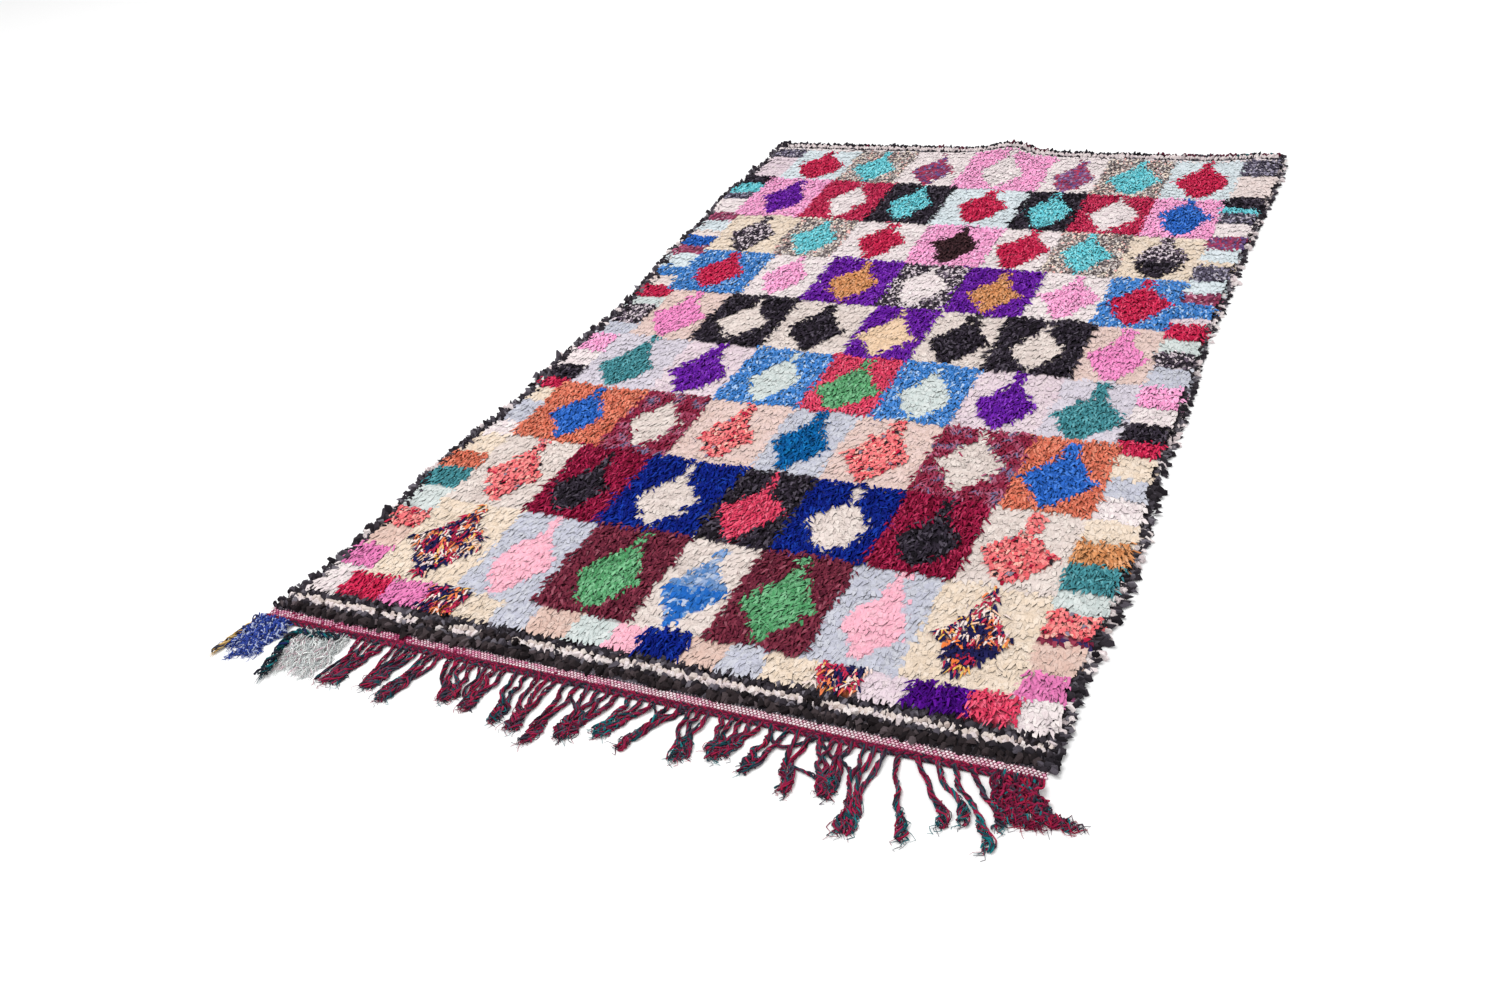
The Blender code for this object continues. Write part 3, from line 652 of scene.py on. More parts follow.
def ragShape(name, sides, end, ridge=None):
    # a strip of rag bent over: its root, its two sides, the ridge of its fold if it has one, and its torn
    # end of one or two corners. It leans to -Y, and its width, length and height are 1
    bm = bmesh.new()
    root = bm.verts.new((0, 0.05, 0))
    left, right = (bm.verts.new(corner) for corner in sides)
    tips = [bm.verts.new(corner) for corner in end]
    first, last = tips[0], tips[-1]
    faces = [(root, left, right), (root, left, first), (root, right, last)]
    if first is not last:
        faces += [(root, first, last)]
    if ridge is None:
        faces += [(left, right, last)] if first is last else [(left, right, last, first)]
    else:
        peak = bm.verts.new(ridge)
        faces += [(left, right, peak), (left, first, peak), (right, last, peak)]
        if first is not last:
            faces += [(first, last, peak)]
    for face in faces:
        bm.faces.new(face)
    for edge in bm.edges:
        edge.smooth = ridge is not None and peak in edge.verts
    bmesh.ops.recalc_face_normals(bm, faces=bm.faces)
    return meshOf(name, bm)


def meshOf(name, bm):
    mesh = bpy.data.meshes.new(name)
    bm.to_mesh(mesh)
    bm.free()
    return mesh


def collect(name, meshes):
    collection = bpy.data.collections.new(name)
    for mesh in meshes:
        collection.objects.link(bpy.data.objects.new(mesh.name, mesh))
    return collection


def thinRags():
    shapes = [
        ([(-0.5, -0.36, 0.78), (0.5, -0.42, 0.74)], [(0.1, -1.05, 0.70)], (0.06, -0.46, 0.96)),
        ([(-0.5, -0.32, 0.76), (0.5, -0.26, 0.80)], [(-0.36, -0.98, 0.78), (0.30, -0.86, 0.66)],
         (-0.08, -0.44, 0.94)),
        ([(-0.46, -0.40, 0.92), (0.50, -0.34, 0.78)], [(-0.20, -1.0, 0.80)]),
        ([(-0.5, -0.30, 0.78), (0.5, -0.38, 0.92)], [(-0.30, -0.92, 0.82), (0.40, -1.02, 0.62)]),
        ([(-0.5, -0.34, 0.94), (0.5, -0.30, 0.80)], [(-0.42, -0.88, 0.66), (0.22, -1.04, 0.84)]),
    ]
    return collect("thinRags", [ragShape("rag" + letter, *shape) for letter, shape in zip("ABCDE", shapes)])


def chunkShape(name, seed):
    # a broad rag folded over itself: two rings of four corners and two ends. Its length and height are 1
    rng = np.random.default_rng(seed)
    bm = bmesh.new()
    root = bm.verts.new((0, 0.05, 0))
    rings = []
    for along, up, wide in ((-0.20, 0.80, 0.44), (-0.66, 0.94, 0.50)):
        corners = []
        for x, z in ((-1, 0.25), (-0.4, 0.95), (0.5, 0.80), (1, 0.15)):
            jig = rng.uniform(-0.22, 0.22, 3)
            corners.append(bm.verts.new((x * wide + jig[0], along + jig[1], up * (z + jig[2]))))
        rings.append(corners)
    end = bm.verts.new((rng.uniform(-0.3, 0.3), -1.0, rng.uniform(0.2, 0.5)))
    for k in range(4):
        after = (k + 1) % 4
        bm.faces.new((root, rings[0][after], rings[0][k]))
        bm.faces.new((rings[0][k], rings[0][after], rings[1][after], rings[1][k]))
        bm.faces.new((rings[1][k], rings[1][after], end))
    bmesh.ops.recalc_face_normals(bm, faces=bm.faces)
    for edge in bm.edges:
        edge.smooth = edge.calc_face_angle(0) < 0.55
    return meshOf(name, bm)


def broadRags():
    shapes = [
        ([(-0.5, -0.30, 0.30), (0.5, -0.44, 0.52)], [(0.24, -1.0, 0.30)], (-0.10, -0.52, 1.05)),
        ([(-0.5, -0.42, 0.60), (0.5, -0.28, 0.24)], [(-0.42, -0.92, 0.24), (0.26, -1.02, 0.5)],
         (0.12, -0.46, 1.0)),
        ([(-0.5, -0.24, 0.42), (0.5, -0.36, 0.36)], [(-0.16, -1.06, 0.62)], (0.08, -0.34, 0.96)),
    ]
    chunks = [chunkShape(f"chunk{k}", 60 + k) for k in range(3)]
    folds = [ragShape("fold" + letter, *shape) for letter, shape in zip("ABC", shapes)]
    return collect("broadRags", chunks + folds)


scatter = scatterTree()
spin = yarnTree()
thin = thinRags()
broad = broadRags()


def setRags(name, places, heading, cut, colors, inputs):
    # one piece of rags: each with its place, its heading, its width, length and height, and its colour
    mesh = bpy.data.meshes.new(name)
    mesh.vertices.add(len(places))
    mesh.vertices.foreach_set("co", np.ascontiguousarray(places, np.float32).ravel())
    setAttributes(mesh, {
        "heading": ("FLOAT", heading),
        "cut": ("FLOAT_VECTOR", cut),
        "dye": ("FLOAT_COLOR", withAlpha(colors)),
    })
    return runTree(name, mesh, scatter, inputs)


pile = {
    "spacing": 0.0060,      # between knots
    "jitter": 0.0026,
    "from": 0.106,
    "to": 2.404,
    "overSides": 0.006,     # how far it spreads over the overcast sides
    "hang": 0.55,           # where on its length a rag shows, so the chart is read there
    "bed": 0.0124,          # the top of the knots that carry the rags, above the floor
    "sunk": 0.0016,         # how deep the rags start in it
    "ragWidth": 0.0066,
    "ragLength": 0.0190,
    "ragHeight": 0.0042,
    "spread": 0.45,         # radians to each side of the pile's lie
    "tilt": 0.07,
    "uneven": 0.25,
    "lumps": 0.0030,        # how much taller the pile stands in places
    "rowPitch": 0.023,      # between two lines of knots: each line's pile hangs over the next
    "rowLift": 0.55,        # how much of the lumps is those lines
    "bands": 5,
    "seed": 12,
}

# how each cloth is cut: its rags' width, length and height, as shares of the usual ones. All the others are
# matted flat
matted = (1.25, 1.10, 0.60)
cuts = {
    "red": (0.55, 1.10, 1.50), "madder": (0.55, 1.10, 1.50), "coral": (0.60, 1.10, 1.50),
    "confetti": (0.62, 1.20, 1.60), "confettiDark": (0.90, 0.95, 1.50),
    "purple": (0.62, 1.15, 1.60), "navy": (0.62, 1.20, 1.60),
    "deepPurple": (0.62, 1.15, 1.60), "black": (0.80, 1.10, 1.70), "burgundy": (0.60, 1.15, 1.60),
    "wine": (0.60, 1.15, 1.60), "maroon": (0.75, 1.00, 1.60), "rust": (0.65, 1.05, 1.40),
    "ochre": (0.65, 1.05, 1.40), "cobalt": (0.75, 1.05, 1.40), "midBlue": (0.80, 1.00, 1.30),
    "green": (0.80, 1.00, 1.35), "salmon": (1.00, 0.85, 1.50), "pepper": (0.90, 0.85, 1.40),
    "turquoise": (0.65, 1.05, 1.35), "tealGreen": (0.65, 1.05, 1.40), "tealBlue": (0.65, 1.05, 1.40),
    "brownBlack": (0.65, 1.05, 1.60), "hotPink": (0.80, 1.00, 1.20), "pink": (0.80, 1.00, 1.20),
    "orchid": (0.80, 1.00, 1.20), "smoke": (0.90, 0.85, 1.30), "slate": (0.90, 0.85, 1.30),
}


def pileLumps(spots):
    # how the pile rises and falls: lumps, and lines whose pile hangs over the next
    line = spots[:, 1] / pile["rowPitch"] + 0.8 * wander(spots, 14, 6.1)
    rise = 1 - (line % 1)
    overhang = smooth(rise / 0.75) * smooth((1 - rise) / 0.25) - 0.4
    return 0.50 * wander(spots, 13, 0.5) + 0.60 * wander(spots, 33, 4.5) + pile["rowLift"] * overhang


def growPile():
    # short rags all over the knotted field, dyed by the chart, in bands along the rug
    rng = np.random.default_rng(pile["seed"])
    shapes = np.array([cuts.get(name, matted) for name in clothNames])
    shaggy = shapes[:, 2] - matted[2]
    reach = (pile["to"] - pile["from"]) / pile["bands"]
    bands = []
    for band in range(pile["bands"]):
        start = pile["from"] + band * reach
        alongs = np.arange(start, start + reach - 1e-6, pile["spacing"])
        steps = int(rug["width"] / pile["spacing"])
        share, along = np.meshgrid((np.arange(steps) + 0.5) / steps, alongs)
        share, along = share.ravel(), along.ravel()
        along = along + rng.uniform(-1, 1, along.size) * pile["jitter"]
        left = pileSide("left", along) - pile["overSides"]
        right = pileSide("right", along) + pile["overSides"]
        across = left + (right - left) * share + rng.uniform(-1, 1, along.size) * pile["jitter"]
        spots = spotsOf(across, along)
        cloth = chart(across, along - pile["ragLength"] * pile["hang"], rng)
        colors = dyed(cloth, spots, rng)
        lie = 0.35 * wander(spots, 6, 1.3) + 0.10 + 0.38 * shaggy[cloth] * rng.normal(0, 1, cloth.size)
        lumps = pileLumps(spots)
        cut = shapes[cloth]
        height = pile["bed"] - pile["sunk"] + pile["lumps"] * lumps
        bands.append(setRags(f"pileBand{band + 1}", place(across, along, height), lie, cut, colors, {
            "Rags": thin, "Cloth": cottonJerseyRag,
            "Width": pile["ragWidth"], "Length": pile["ragLength"], "Height": pile["ragHeight"],
            "Spread": pile["spread"], "Tilt": pile["tilt"], "Uneven": pile["uneven"],
            "Seed": pile["seed"] + band,
        }))
    return bands


ground = {
    "edge": 0.003,          # its thickness at its rim
    "inset": 0.008,         # from the outer side of the overcast sides
    "end": 0.004,           # from the plain end
    "rise": 0.016,          # over which the bed of knots rises to its height
    "bedFrom": 0.096,
    "bedTo": 2.402,
    "stripesTo": 0.100,     # the dark ground under the striped ends
    "stripesFrom": 2.404,
    "columns": 26,
    "lines": 50,
    "finer": 4,             # how much finer its top is than its underside
    # painted shade: the bed's dye is made a little darker, for the shade between the rags over it
    "shade": 0.93,
}


def weaveGround():
    # the ground cloth with its bed of knots: a closed sheet with a flat underside, dyed by the chart and
    # darkened a little by painted shade
    rng = np.random.default_rng(4)
    fine = ground["finer"]

    def surface(columns, lines, isTop):
        spots, colors = [], []
        for along in np.linspace(rug["kilim"], rug["length"] - ground["end"], lines + 1):
            line = np.full(columns + 1, along)
            left = outerSide("left", line) + ground["inset"]
            right = outerSide("right", line) - ground["inset"]
            across = left + (right - left) * np.arange(columns + 1) / columns
            flat = spotsOf(across, line)
            inside = smooth((np.minimum(across - left, right - across) - 0.010) / ground["rise"])
            inside = inside * smooth((along - ground["bedFrom"]) / 0.012)
            inside = inside * smooth((ground["bedTo"] - along) / 0.010)
            thick = ground["edge"] + (pile["bed"] - ground["edge"] + pile["lumps"] * pileLumps(flat)) * inside
            spots.append(place(across, line, thick * isTop))
            cloth = chart(across, line, rng)
            if along < ground["stripesTo"] or along > ground["stripesFrom"]:
                cloth[:] = clothIndex("charcoal")
            # painted shade darkens the bed's dye
            colors.append(dyed(cloth, flat, rng) * ground["shade"])
        return np.concatenate(spots), np.concatenate(colors)

    columns, lines = ground["columns"] * fine, ground["lines"] * fine
    top, topColors = surface(columns, lines, 1)
    low, lowColors = surface(ground["columns"], ground["lines"], 0)
    wide, coarse, base = columns + 1, ground["columns"] + 1, len(top)
    faces = []
    for j in range(lines):
        for i in range(columns):
            k = j * wide + i
            faces.append((k, k + 1, k + wide + 1, k + wide))
    for j in range(ground["lines"]):
        for i in range(ground["columns"]):
            k = base + j * coarse + i
            faces.append((k, k + coarse, k + coarse + 1, k + 1))
    # the rim joins each coarse edge below to the fine ones above it
    for i in range(ground["columns"]):
        above = [i * fine + s for s in range(fine, -1, -1)]
        faces.append((base + i, base + i + 1, *above))
        far, farLow = lines * wide, base + ground["lines"] * coarse
        faces.append((farLow + i + 1, farLow + i, *[far + i * fine + s for s in range(fine + 1)]))
    for j in range(ground["lines"]):
        left = [(j * fine + s) * wide for s in range(fine + 1)]
        faces.append((base + (j + 1) * coarse, base + j * coarse, *left))
        right = [(j * fine + s) * wide + columns for s in range(fine, -1, -1)]
        faces.append((base + (j + 1) * coarse - 1, base + (j + 2) * coarse - 1, *right))
    mesh = bpy.data.meshes.new("groundCloth")
    mesh.from_pydata(np.concatenate([top, low]).tolist(), [], faces)
    mesh.shade_smooth()
    setAttributes(mesh, {"dye": ("FLOAT_COLOR", withAlpha(np.concatenate([topColors, lowColors])))})
    mesh.materials.append(wovenGround)
    return newPiece("groundCloth", mesh)


# the striped ends and the overcast sides: broad rags in lines. Each line gives its place along the rug, its
# cloth, its rags' width, length and height, and the pitch from one to the next
endLineColumns = ("along", "cloth", "width", "length", "height", "pitch")
endLines = {
    "near": [
        (0.045, "warmBlack", 0.0135, 0.0190, 0.012, 0.0092),
        (0.053, "warmBlack", 0.0135, 0.0190, 0.012, 0.0092),
        (0.061, "charcoal", 0.0125, 0.0170, 0.012, 0.0092),
        (0.069, "ivory", 0.0110, 0.0140, 0.012, 0.0072),
        (0.076, "oldIvory", 0.0110, 0.0130, 0.012, 0.0078),
        (0.086, "charcoal", 0.0120, 0.0160, 0.012, 0.0085),
        (0.093, "charcoal", 0.0120, 0.0165, 0.012, 0.0088),
        (0.100, "charcoal", 0.0120, 0.0165, 0.012, 0.0092),
    ],
    "far": [
        (2.409, "charcoal", 0.0095, 0.012, 0.011, 0.0080),
        (2.423, "ivory", 0.0095, 0.014, 0.011, 0.0075),
        (2.431, "ivory", 0.0095, 0.013, 0.011, 0.0080),
        (2.442, "endMix", 0.0105, 0.014, 0.010, 0.0075),
        (2.449, "endMix", 0.0105, 0.015, 0.009, 0.0080),
    ],
}
endRags = {
    "pastSides": 0.012,
    "strayOff": 0.0016,
    "lie": 0.35,                # radians to each side
    "cornerFrom": 1.37,         # where the plain end's line turns to another cloth
    # black rags cross the ivory line: the more, the lower this is. It falls, and then rises again
    "crossed": {"usual": 0.42, "falls": 0.34, "fallsFrom": 0.24, "rises": 0.40, "risesFrom": 0.48},
}
# "shrinks" makes the rags of a side smaller along a stretch: by a share, from a place on, over a length
sideLines = {
    "left": {
        "name": "selvedgeLeft", "width": 0.0100, "length": 0.0175, "height": 0.0165, "whiteChance": 0.09,
        "inset": 0.010, "seed": 71, "whiteSeed": 5.5, "shrinks": [(0.30, 0.16, -0.10), (0.16, 1.4, 0.4)],
    },
    "right": {
        "name": "selvedgeRight", "width": 0.0088, "length": 0.0155, "height": 0.0100, "whiteChance": 0.24,
        "inset": 0.008, "seed": 72, "whiteSeed": 6.5, "shrinks": [(0.28, 0.7, 0.6)],
    },
    "places": [0.000, 0.007, 0.014, 0.021],     # from the outer side inwards
    "from": 0.030,
    "pitch": 0.0080,
}


def growStripes():
    # the striped ends: broad black rags with an ivory line between them
    rng = np.random.default_rng(31)
    acrosses, alongs, names, sizes, lies = [], [], [], [], []
    crossed = endRags["crossed"]
    for end, lines in endLines.items():
        for values in lines:
            line = dict(zip(endLineColumns, values))
            low = pileSide("left", np.array([line["along"]]))[0] - endRags["pastSides"]
            high = pileSide("right", np.array([line["along"]]))[0] + endRags["pastSides"]
            a = np.arange(low, high, line["pitch"])
            a = a + rng.uniform(-0.3, 0.3, a.size) * line["pitch"]
            spots = spotsOf(a, np.full(a.size, line["along"]))
            weave = 0.0045 * wander(spots, 9, 3.3) + rng.normal(0, endRags["strayOff"], a.size)
            acrosses.append(a)
            alongs.append(line["along"] + weave)
            cloth = np.full(a.size, clothIndex(line["cloth"]))
            least = crossed["usual"] - crossed["falls"] * smooth((a - crossed["fallsFrom"]) / 0.08)
            least = least + crossed["rises"] * smooth((a - crossed["risesFrom"]) / 0.10)
            over = wander(spots, 16, 9.1) + rng.normal(0, 0.15, a.size) > least
            if end == "near" and line["cloth"] in ("ivory", "oldIvory"):
                cloth[over] = clothIndex("warmBlack")
            if line["cloth"] == "endMix":
                cloth[a > endRags["cornerFrom"]] = clothIndex("cornerMix")
            names.append(cloth)
            sizes.append(np.tile([line["width"], line["length"], line["height"]], (a.size, 1)))
            away = 0 if end == "near" else math.pi
            lies.append(away + rng.normal(0, endRags["lie"], a.size))
    across, along = np.concatenate(acrosses), np.concatenate(alongs)
    spots = spotsOf(across, along)
    colors = dyed(np.concatenate(names), spots, rng)
    cut = np.concatenate(sizes) * (1 + 0.12 * wander(spots, 30, 7.7))[:, None]
    return setRags("endStripes", place(across, along, 0.0012), np.concatenate(lies), cut, colors, {
        "Rags": broad, "Cloth": foldedCottonRag, "Width": 1.0, "Length": 1.0, "Height": 1.0,
        "Spread": 0.25, "Tilt": 0.20, "Uneven": 0.25, "Seed": 5,
    })


def growSelvedge(side):
    # an overcast side: black rags with white ones showing between, and their ends sticking out
    about = sideLines[side]
    rng = np.random.default_rng(about["seed"])
    outwards = 1 if side == "right" else -1
    acrosses, alongs, depths = [], [], []
    for depth in sideLines["places"]:
        l = np.arange(sideLines["from"], rug["length"] - 0.002, sideLines["pitch"])
        l = l + rng.uniform(-0.35, 0.35, l.size) * sideLines["pitch"]
        inwards = depth + about["inset"] + rng.normal(0, 0.0022, l.size)
        acrosses.append(outerSide(side, l) - outwards * inwards)
        alongs.append(l)
        depths.append(np.full(l.size, depth))
    across, along, depth = (np.concatenate(part) for part in (acrosses, alongs, depths))
    spots = spotsOf(across, along)
    show = wander(spots, 40, about["whiteSeed"]) + rng.normal(0, 0.18, along.size)
    white = show > np.quantile(show, 1 - about["whiteChance"])
    cloth = np.where(white, clothIndex("ivory"), clothIndex("charcoal"))
    colors = dyed(cloth, spots, rng)
    lie = outwards * math.pi / 2 + rng.normal(0, 0.60, along.size)
    outermost = depth < 0.006
    grow = (1 + 0.30 * wander(spots, 22, 1.9)) * np.where(outermost, rng.uniform(0.8, 1.25, along.size), 1)
    for share, start, over in about["shrinks"]:
        grow = grow * (1 - share * smooth((along - start) / over))
    cut = np.tile([about["width"], about["length"], about["height"]], (along.size, 1)) * grow[:, None]
    return setRags(about["name"], place(across, along, 0.0010), lie, cut, colors, {
        "Rags": broad, "Cloth": foldedCottonRag, "Width": 1.0, "Length": 1.0, "Height": 1.0,
        "Spread": 0.2, "Tilt": 0.30, "Uneven": 0.30, "Seed": 15,
    })


# the flat-woven end: a thin cloth under rows of stitches
kilim = {
    "left": -0.004,
    "right": 1.478,
    "from": 0.0105,          # the stitches; the cloth starts "under" before them, below the twined edge
    "to": 0.0335,
    "under": 0.010,
    "rows": 5,
    "bead": 0.0066,          # from one stitch to the next
    "thickness": 0.0016,
    "stitch": {"Width": 0.0060, "Length": 0.0048, "Height": 0.0030},
    "cloth": "#7A1C40",
    "stitches": ["#F6E6EA", "#F4CFDB", "#E9A3BF", "#C85E88", "#8E2448"],
    "knot": 0.312,           # where the dark threads are bunched
}


def weaveKilim():
    # the flat-woven end's cloth, a thin strip under its stitches
    count = 120
    across = np.linspace(kilim["left"], kilim["right"], count)
    faces = []
    spots = []
    for along in (kilim["from"] - kilim["under"], kilim["to"]):
        for z in (0.0, kilim["thickness"]):
            spots.append(place(across, np.full(count, along), z))
    for i in range(count - 1):
        for near, far in ((0, 1), (1, 3), (3, 2), (2, 0)):
            faces.append((near * count + i, near * count + i + 1, far * count + i + 1, far * count + i))
    faces += [(0, count, 3 * count, 2 * count)]
    faces += [(count - 1, 3 * count - 1, 4 * count - 1, 2 * count - 1)]
    mesh = bpy.data.meshes.new("kilimBand")
    mesh.from_pydata(np.concatenate(spots).tolist(), [], faces)
    setAttributes(mesh, {"dye": ("FLOAT_COLOR", np.tile([*linear(kilim["cloth"]), 1], (4 * count, 1)))})
    mesh.materials.append(wovenGround)
    bm = bmesh.new()
    bm.from_mesh(mesh)
    bmesh.ops.recalc_face_normals(bm, faces=bm.faces)
    bm.to_mesh(mesh)
    bm.free()
    return newPiece("kilimBand", mesh)


def beadShape():
    # one stitch of the weave: a low bead, longer across, that leaves a dark dot beside it
    return collect("stitch", [meshOf("stitchA", roundBead(0.0)), meshOf("stitchB", roundBead(0.12))])


def roundBead(skew):
    bm = bmesh.new()
    outline = [(-0.5, -skew), (-0.24, -0.5), (0.24, -0.5), (0.5, skew), (0.24, 0.5), (-0.24, 0.5)]
    rim = [bm.verts.new((x, y, -0.1)) for x, y in outline]
    top = bm.verts.new((0, 0, 0.5))
    for k in range(6):
        bm.faces.new((rim[k], rim[(k + 1) % 6], top))
    bm.faces.new(rim[::-1])
    bmesh.ops.recalc_face_normals(bm, faces=bm.faces)
    return bm


def stitchKilim():
    # rows of pink and white stitches with the dark warp showing between them
    rng = np.random.default_rng(8)
    acrosses, alongs = [], []
    for k, along in enumerate(np.linspace(kilim["from"] + 0.0015, kilim["to"] - 0.002, kilim["rows"])):
        a = np.arange(-0.003, 1.477, kilim["bead"]) + (k % 2) * kilim["bead"] / 2      # inside the cloth
        acrosses.append(a)
        alongs.append(np.full(a.size, along))
    across, along = np.concatenate(acrosses), np.concatenate(alongs)
    spots = spotsOf(across, along)
    pinks = np.array([linear(hue) for hue in kilim["stitches"]])
    paler = 0.22 * smooth((across - 0.4) / 0.5)
    darker = 0.5 * np.exp(-((across - kilim["knot"]) / 0.018) ** 2)
    draw = 0.60 - paler + darker + 0.28 * wander(spots, 12, 2.6) + rng.normal(0, 0.16, along.size)
    colors = pinks[np.searchsorted([0.38, 0.62, 0.86, 0.97], np.clip(draw, 0, 0.999))]
    wave = 0.0012 * wander(spotsOf(across, across * 0), 9, 3.3)
    heading = rng.normal(0, 0.10, along.size)
    colors = colors * rng.normal(1, 0.06, (along.size, 1))
    places = place(across, along + wave, kilim["thickness"] + 0.0004)
    return setRags("kilimStitches", places, heading, np.ones((along.size, 3)), colors, {
        "Rags": stitch, "Cloth": spunWool, **kilim["stitch"],
        "Spread": 0.1, "Tilt": 0.08, "Uneven": 0.12, "Seed": 3,
    })


# yarns: lines of points, each with a thickness and a dye
yarnHues = {
    "crimson": "#8C1A40", "ruby": "#9C1C40", "wine": "#5E1833", "slate": "#3F3E4C", "ink": "#26242F",
    "teal": "#146F76", "deepTeal": "#0F434C", "gold": "#B08B4C", "straw": "#CDB07A",
    "marlBlue": "#33489A", "marlNavy": "#1F2A66", "marlWhite": "#A9B3D2", "fog": "#CCD1D0",
    "cloud": "#E2E4E2", "ash": "#B9BFC0", "scarlet": "#A8223A", "rosy": "#D6BAC2",
}
fullTurn = 6.28      # radians


def yarnDye(name, rng, vary=0.12):
    return np.array(linear(yarnHues[name])) * rng.normal(1, vary)


def lengths(path):
    # how far along a path each of its points is
    return np.concatenate([[0], np.cumsum(np.linalg.norm(np.diff(path, axis=0), axis=1))])


def pointsAlong(path, t):
    # points at shares t of a path, and straight on past its end
    far = lengths(path)
    at = np.clip(t, 0, 1) * far[-1]
    points = np.stack([np.interp(at, far, path[:, k]) for k in range(3)], axis=-1)
    ahead = path[-1] - path[-3]
    ahead = ahead / np.linalg.norm(ahead)
    return points + np.maximum(0, t - 1)[:, None] * far[-1] * ahead


def sideways(path):
    # unit vectors to the side of a path and up from it
    heading = np.gradient(path, axis=0)
    heading /= np.linalg.norm(heading, axis=1)[:, None]
    side = np.stack([-heading[:, 1], heading[:, 0], np.zeros(len(path))], axis=-1)
    side /= np.linalg.norm(side, axis=1)[:, None]
    return side, np.cross(heading, side)


def plied(path, about, rng):
    # the plies of one cord, twisted round its path
    side, up = sideways(path)
    far = lengths(path)
    phase = rng.uniform(0, fullTurn)
    lines = []
    for k, dye in enumerate(about["dyes"]):
        angle = phase + 2 * math.pi * (k / len(about["dyes"]) + far / about["pitch"])
        ring = about["twist"]
        line = path + (np.cos(angle) * ring)[:, None] * side + (np.sin(angle) * ring)[:, None] * up
        lines.append({"path": line, "thick": about["ply"], "dye": yarnDye(dye, rng)})
    return lines


def bundled(path, about, rng):
    # a strand of several thin marled yarns, loosely twisted and uneven. They open towards its end
    side, up = sideways(path)
    far = lengths(path)
    t = far / far[-1]
    lines = []
    count = len(about["dyes"])
    phase = rng.uniform(0, fullTurn)
    opening = 1 + about["open"] * smooth((t - 0.50) / 0.5)
    for k, dye in enumerate(about["dyes"]):
        waves = 0.9 * np.sin(far / 0.017 + rng.uniform(0, fullTurn))
        waves = waves + 0.5 * np.sin(far / 0.008 + rng.uniform(0, fullTurn))
        angle = phase + 2 * math.pi * (k / count + far / about["pitch"]) + waves
        ring = about["twist"] * (1 + 0.35 * np.sin(far / 0.012 + rng.uniform(0, fullTurn)))
        end = np.clip((t - rng.uniform(0.90, 1.02)) / 0.08, 0, 1)
        line = path + (np.cos(angle) * ring * opening)[:, None] * side + (np.sin(angle) * ring)[:, None] * up
        line[:, 2] = np.maximum(line[:, 2], about["ply"])
        thick = about["ply"] * (1 + 0.15 * np.sin(far / 0.006 + k)) * (1 - 0.8 * end)
        # marl: flecks of another dye, and towards its end the yarn may turn teal
        marl = (rng.random(len(t)) < 0.34)[:, None]
        other = yarnDye(str(rng.choice(about.get("marl", ["ink"]))), rng)
        color = np.where(marl, other, yarnDye(dye, rng))
        if rng.random() < about.get("tealEnds", 0):
            turned = (t > rng.uniform(0.45, 0.65))[:, None] & ~marl
            color = np.where(turned, yarnDye(str(rng.choice(["teal", "teal", "deepTeal"])), rng), color)
        lines.append({"path": line, "thick": thick, "dye": color})
    return lines


def loose(path, about, dyes, rng):
    # fine threads that leave a strand, curl, and end a little past it, lying on the floor. "first" and "past"
    # say where each starts, and how far past the strand it ends, as shares of the strand
    thin, tight = about["thick"], about.get("tight", 1)
    curl, lift = about.get("curl", 0.002), about.get("lift", 0.003)
    lines = []
    for _ in range(about["count"]):
        first = rng.uniform(*about["first"])
        t = np.linspace(first, 1 + rng.uniform(*about["past"]), about.get("points", 14))
        share = (t - first) / (t[-1] - first)
        base = pointsAlong(path, t)
        side, _ = sideways(base)
        drift = rng.normal(0, about["spread"]) * share ** 1.3
        drift = drift + rng.normal(0, about.get("root", 0)) * (1 - share)
        waves, phase = rng.uniform(1.0, 2.6) * tight, rng.uniform(0, fullTurn, 2)
        sway = curl / tight ** 0.5 * np.sin(fullTurn * waves * share + phase[0]) * smooth(share * 3)
        rise = 0.5 * curl * np.sin(fullTurn * waves * share + phase[1])
        line = base + (drift + sway)[:, None] * side
        fall = 1 - 0.55 * smooth(share)
        line[:, 2] = np.maximum(thin, line[:, 2] * fall + rise + rng.uniform(-0.3, 1) * lift * (1 - share))
        thick = thin * rng.uniform(0.8, 1.25) * (1 - 0.6 * share ** 3)
        lines.append({"path": line, "thick": thick, "dye": yarnDye(str(rng.choice(dyes)), rng)})
    return lines


def yarns(name, lines, sides):
    # makes lines into one piece of yarns
    mesh = bpy.data.meshes.new(name)
    counts = [len(line["path"]) for line in lines]
    starts = np.cumsum([0, *counts[:-1]])
    spots = np.concatenate([line["path"] for line in lines])
    spots = place(spots[:, 0], spots[:, 1], spots[:, 2])
    edges = [
        np.stack([np.arange(s, s + n - 1), np.arange(s + 1, s + n)], axis=1)
        for s, n in zip(starts, counts)
    ]
    mesh.from_pydata(spots.tolist(), np.concatenate(edges).tolist(), [])
    thick = np.concatenate([np.broadcast_to(line["thick"], n) for line, n in zip(lines, counts)])
    dye = np.concatenate([np.broadcast_to(line["dye"], (n, 3)) for line, n in zip(lines, counts)])
    setAttributes(mesh, {"thick": ("FLOAT", thick), "dye": ("FLOAT_COLOR", withAlpha(np.clip(dye, 0, 1)))})
    return runTree(name, mesh, spin, {"Wool": spunWool, "Sides": sides})


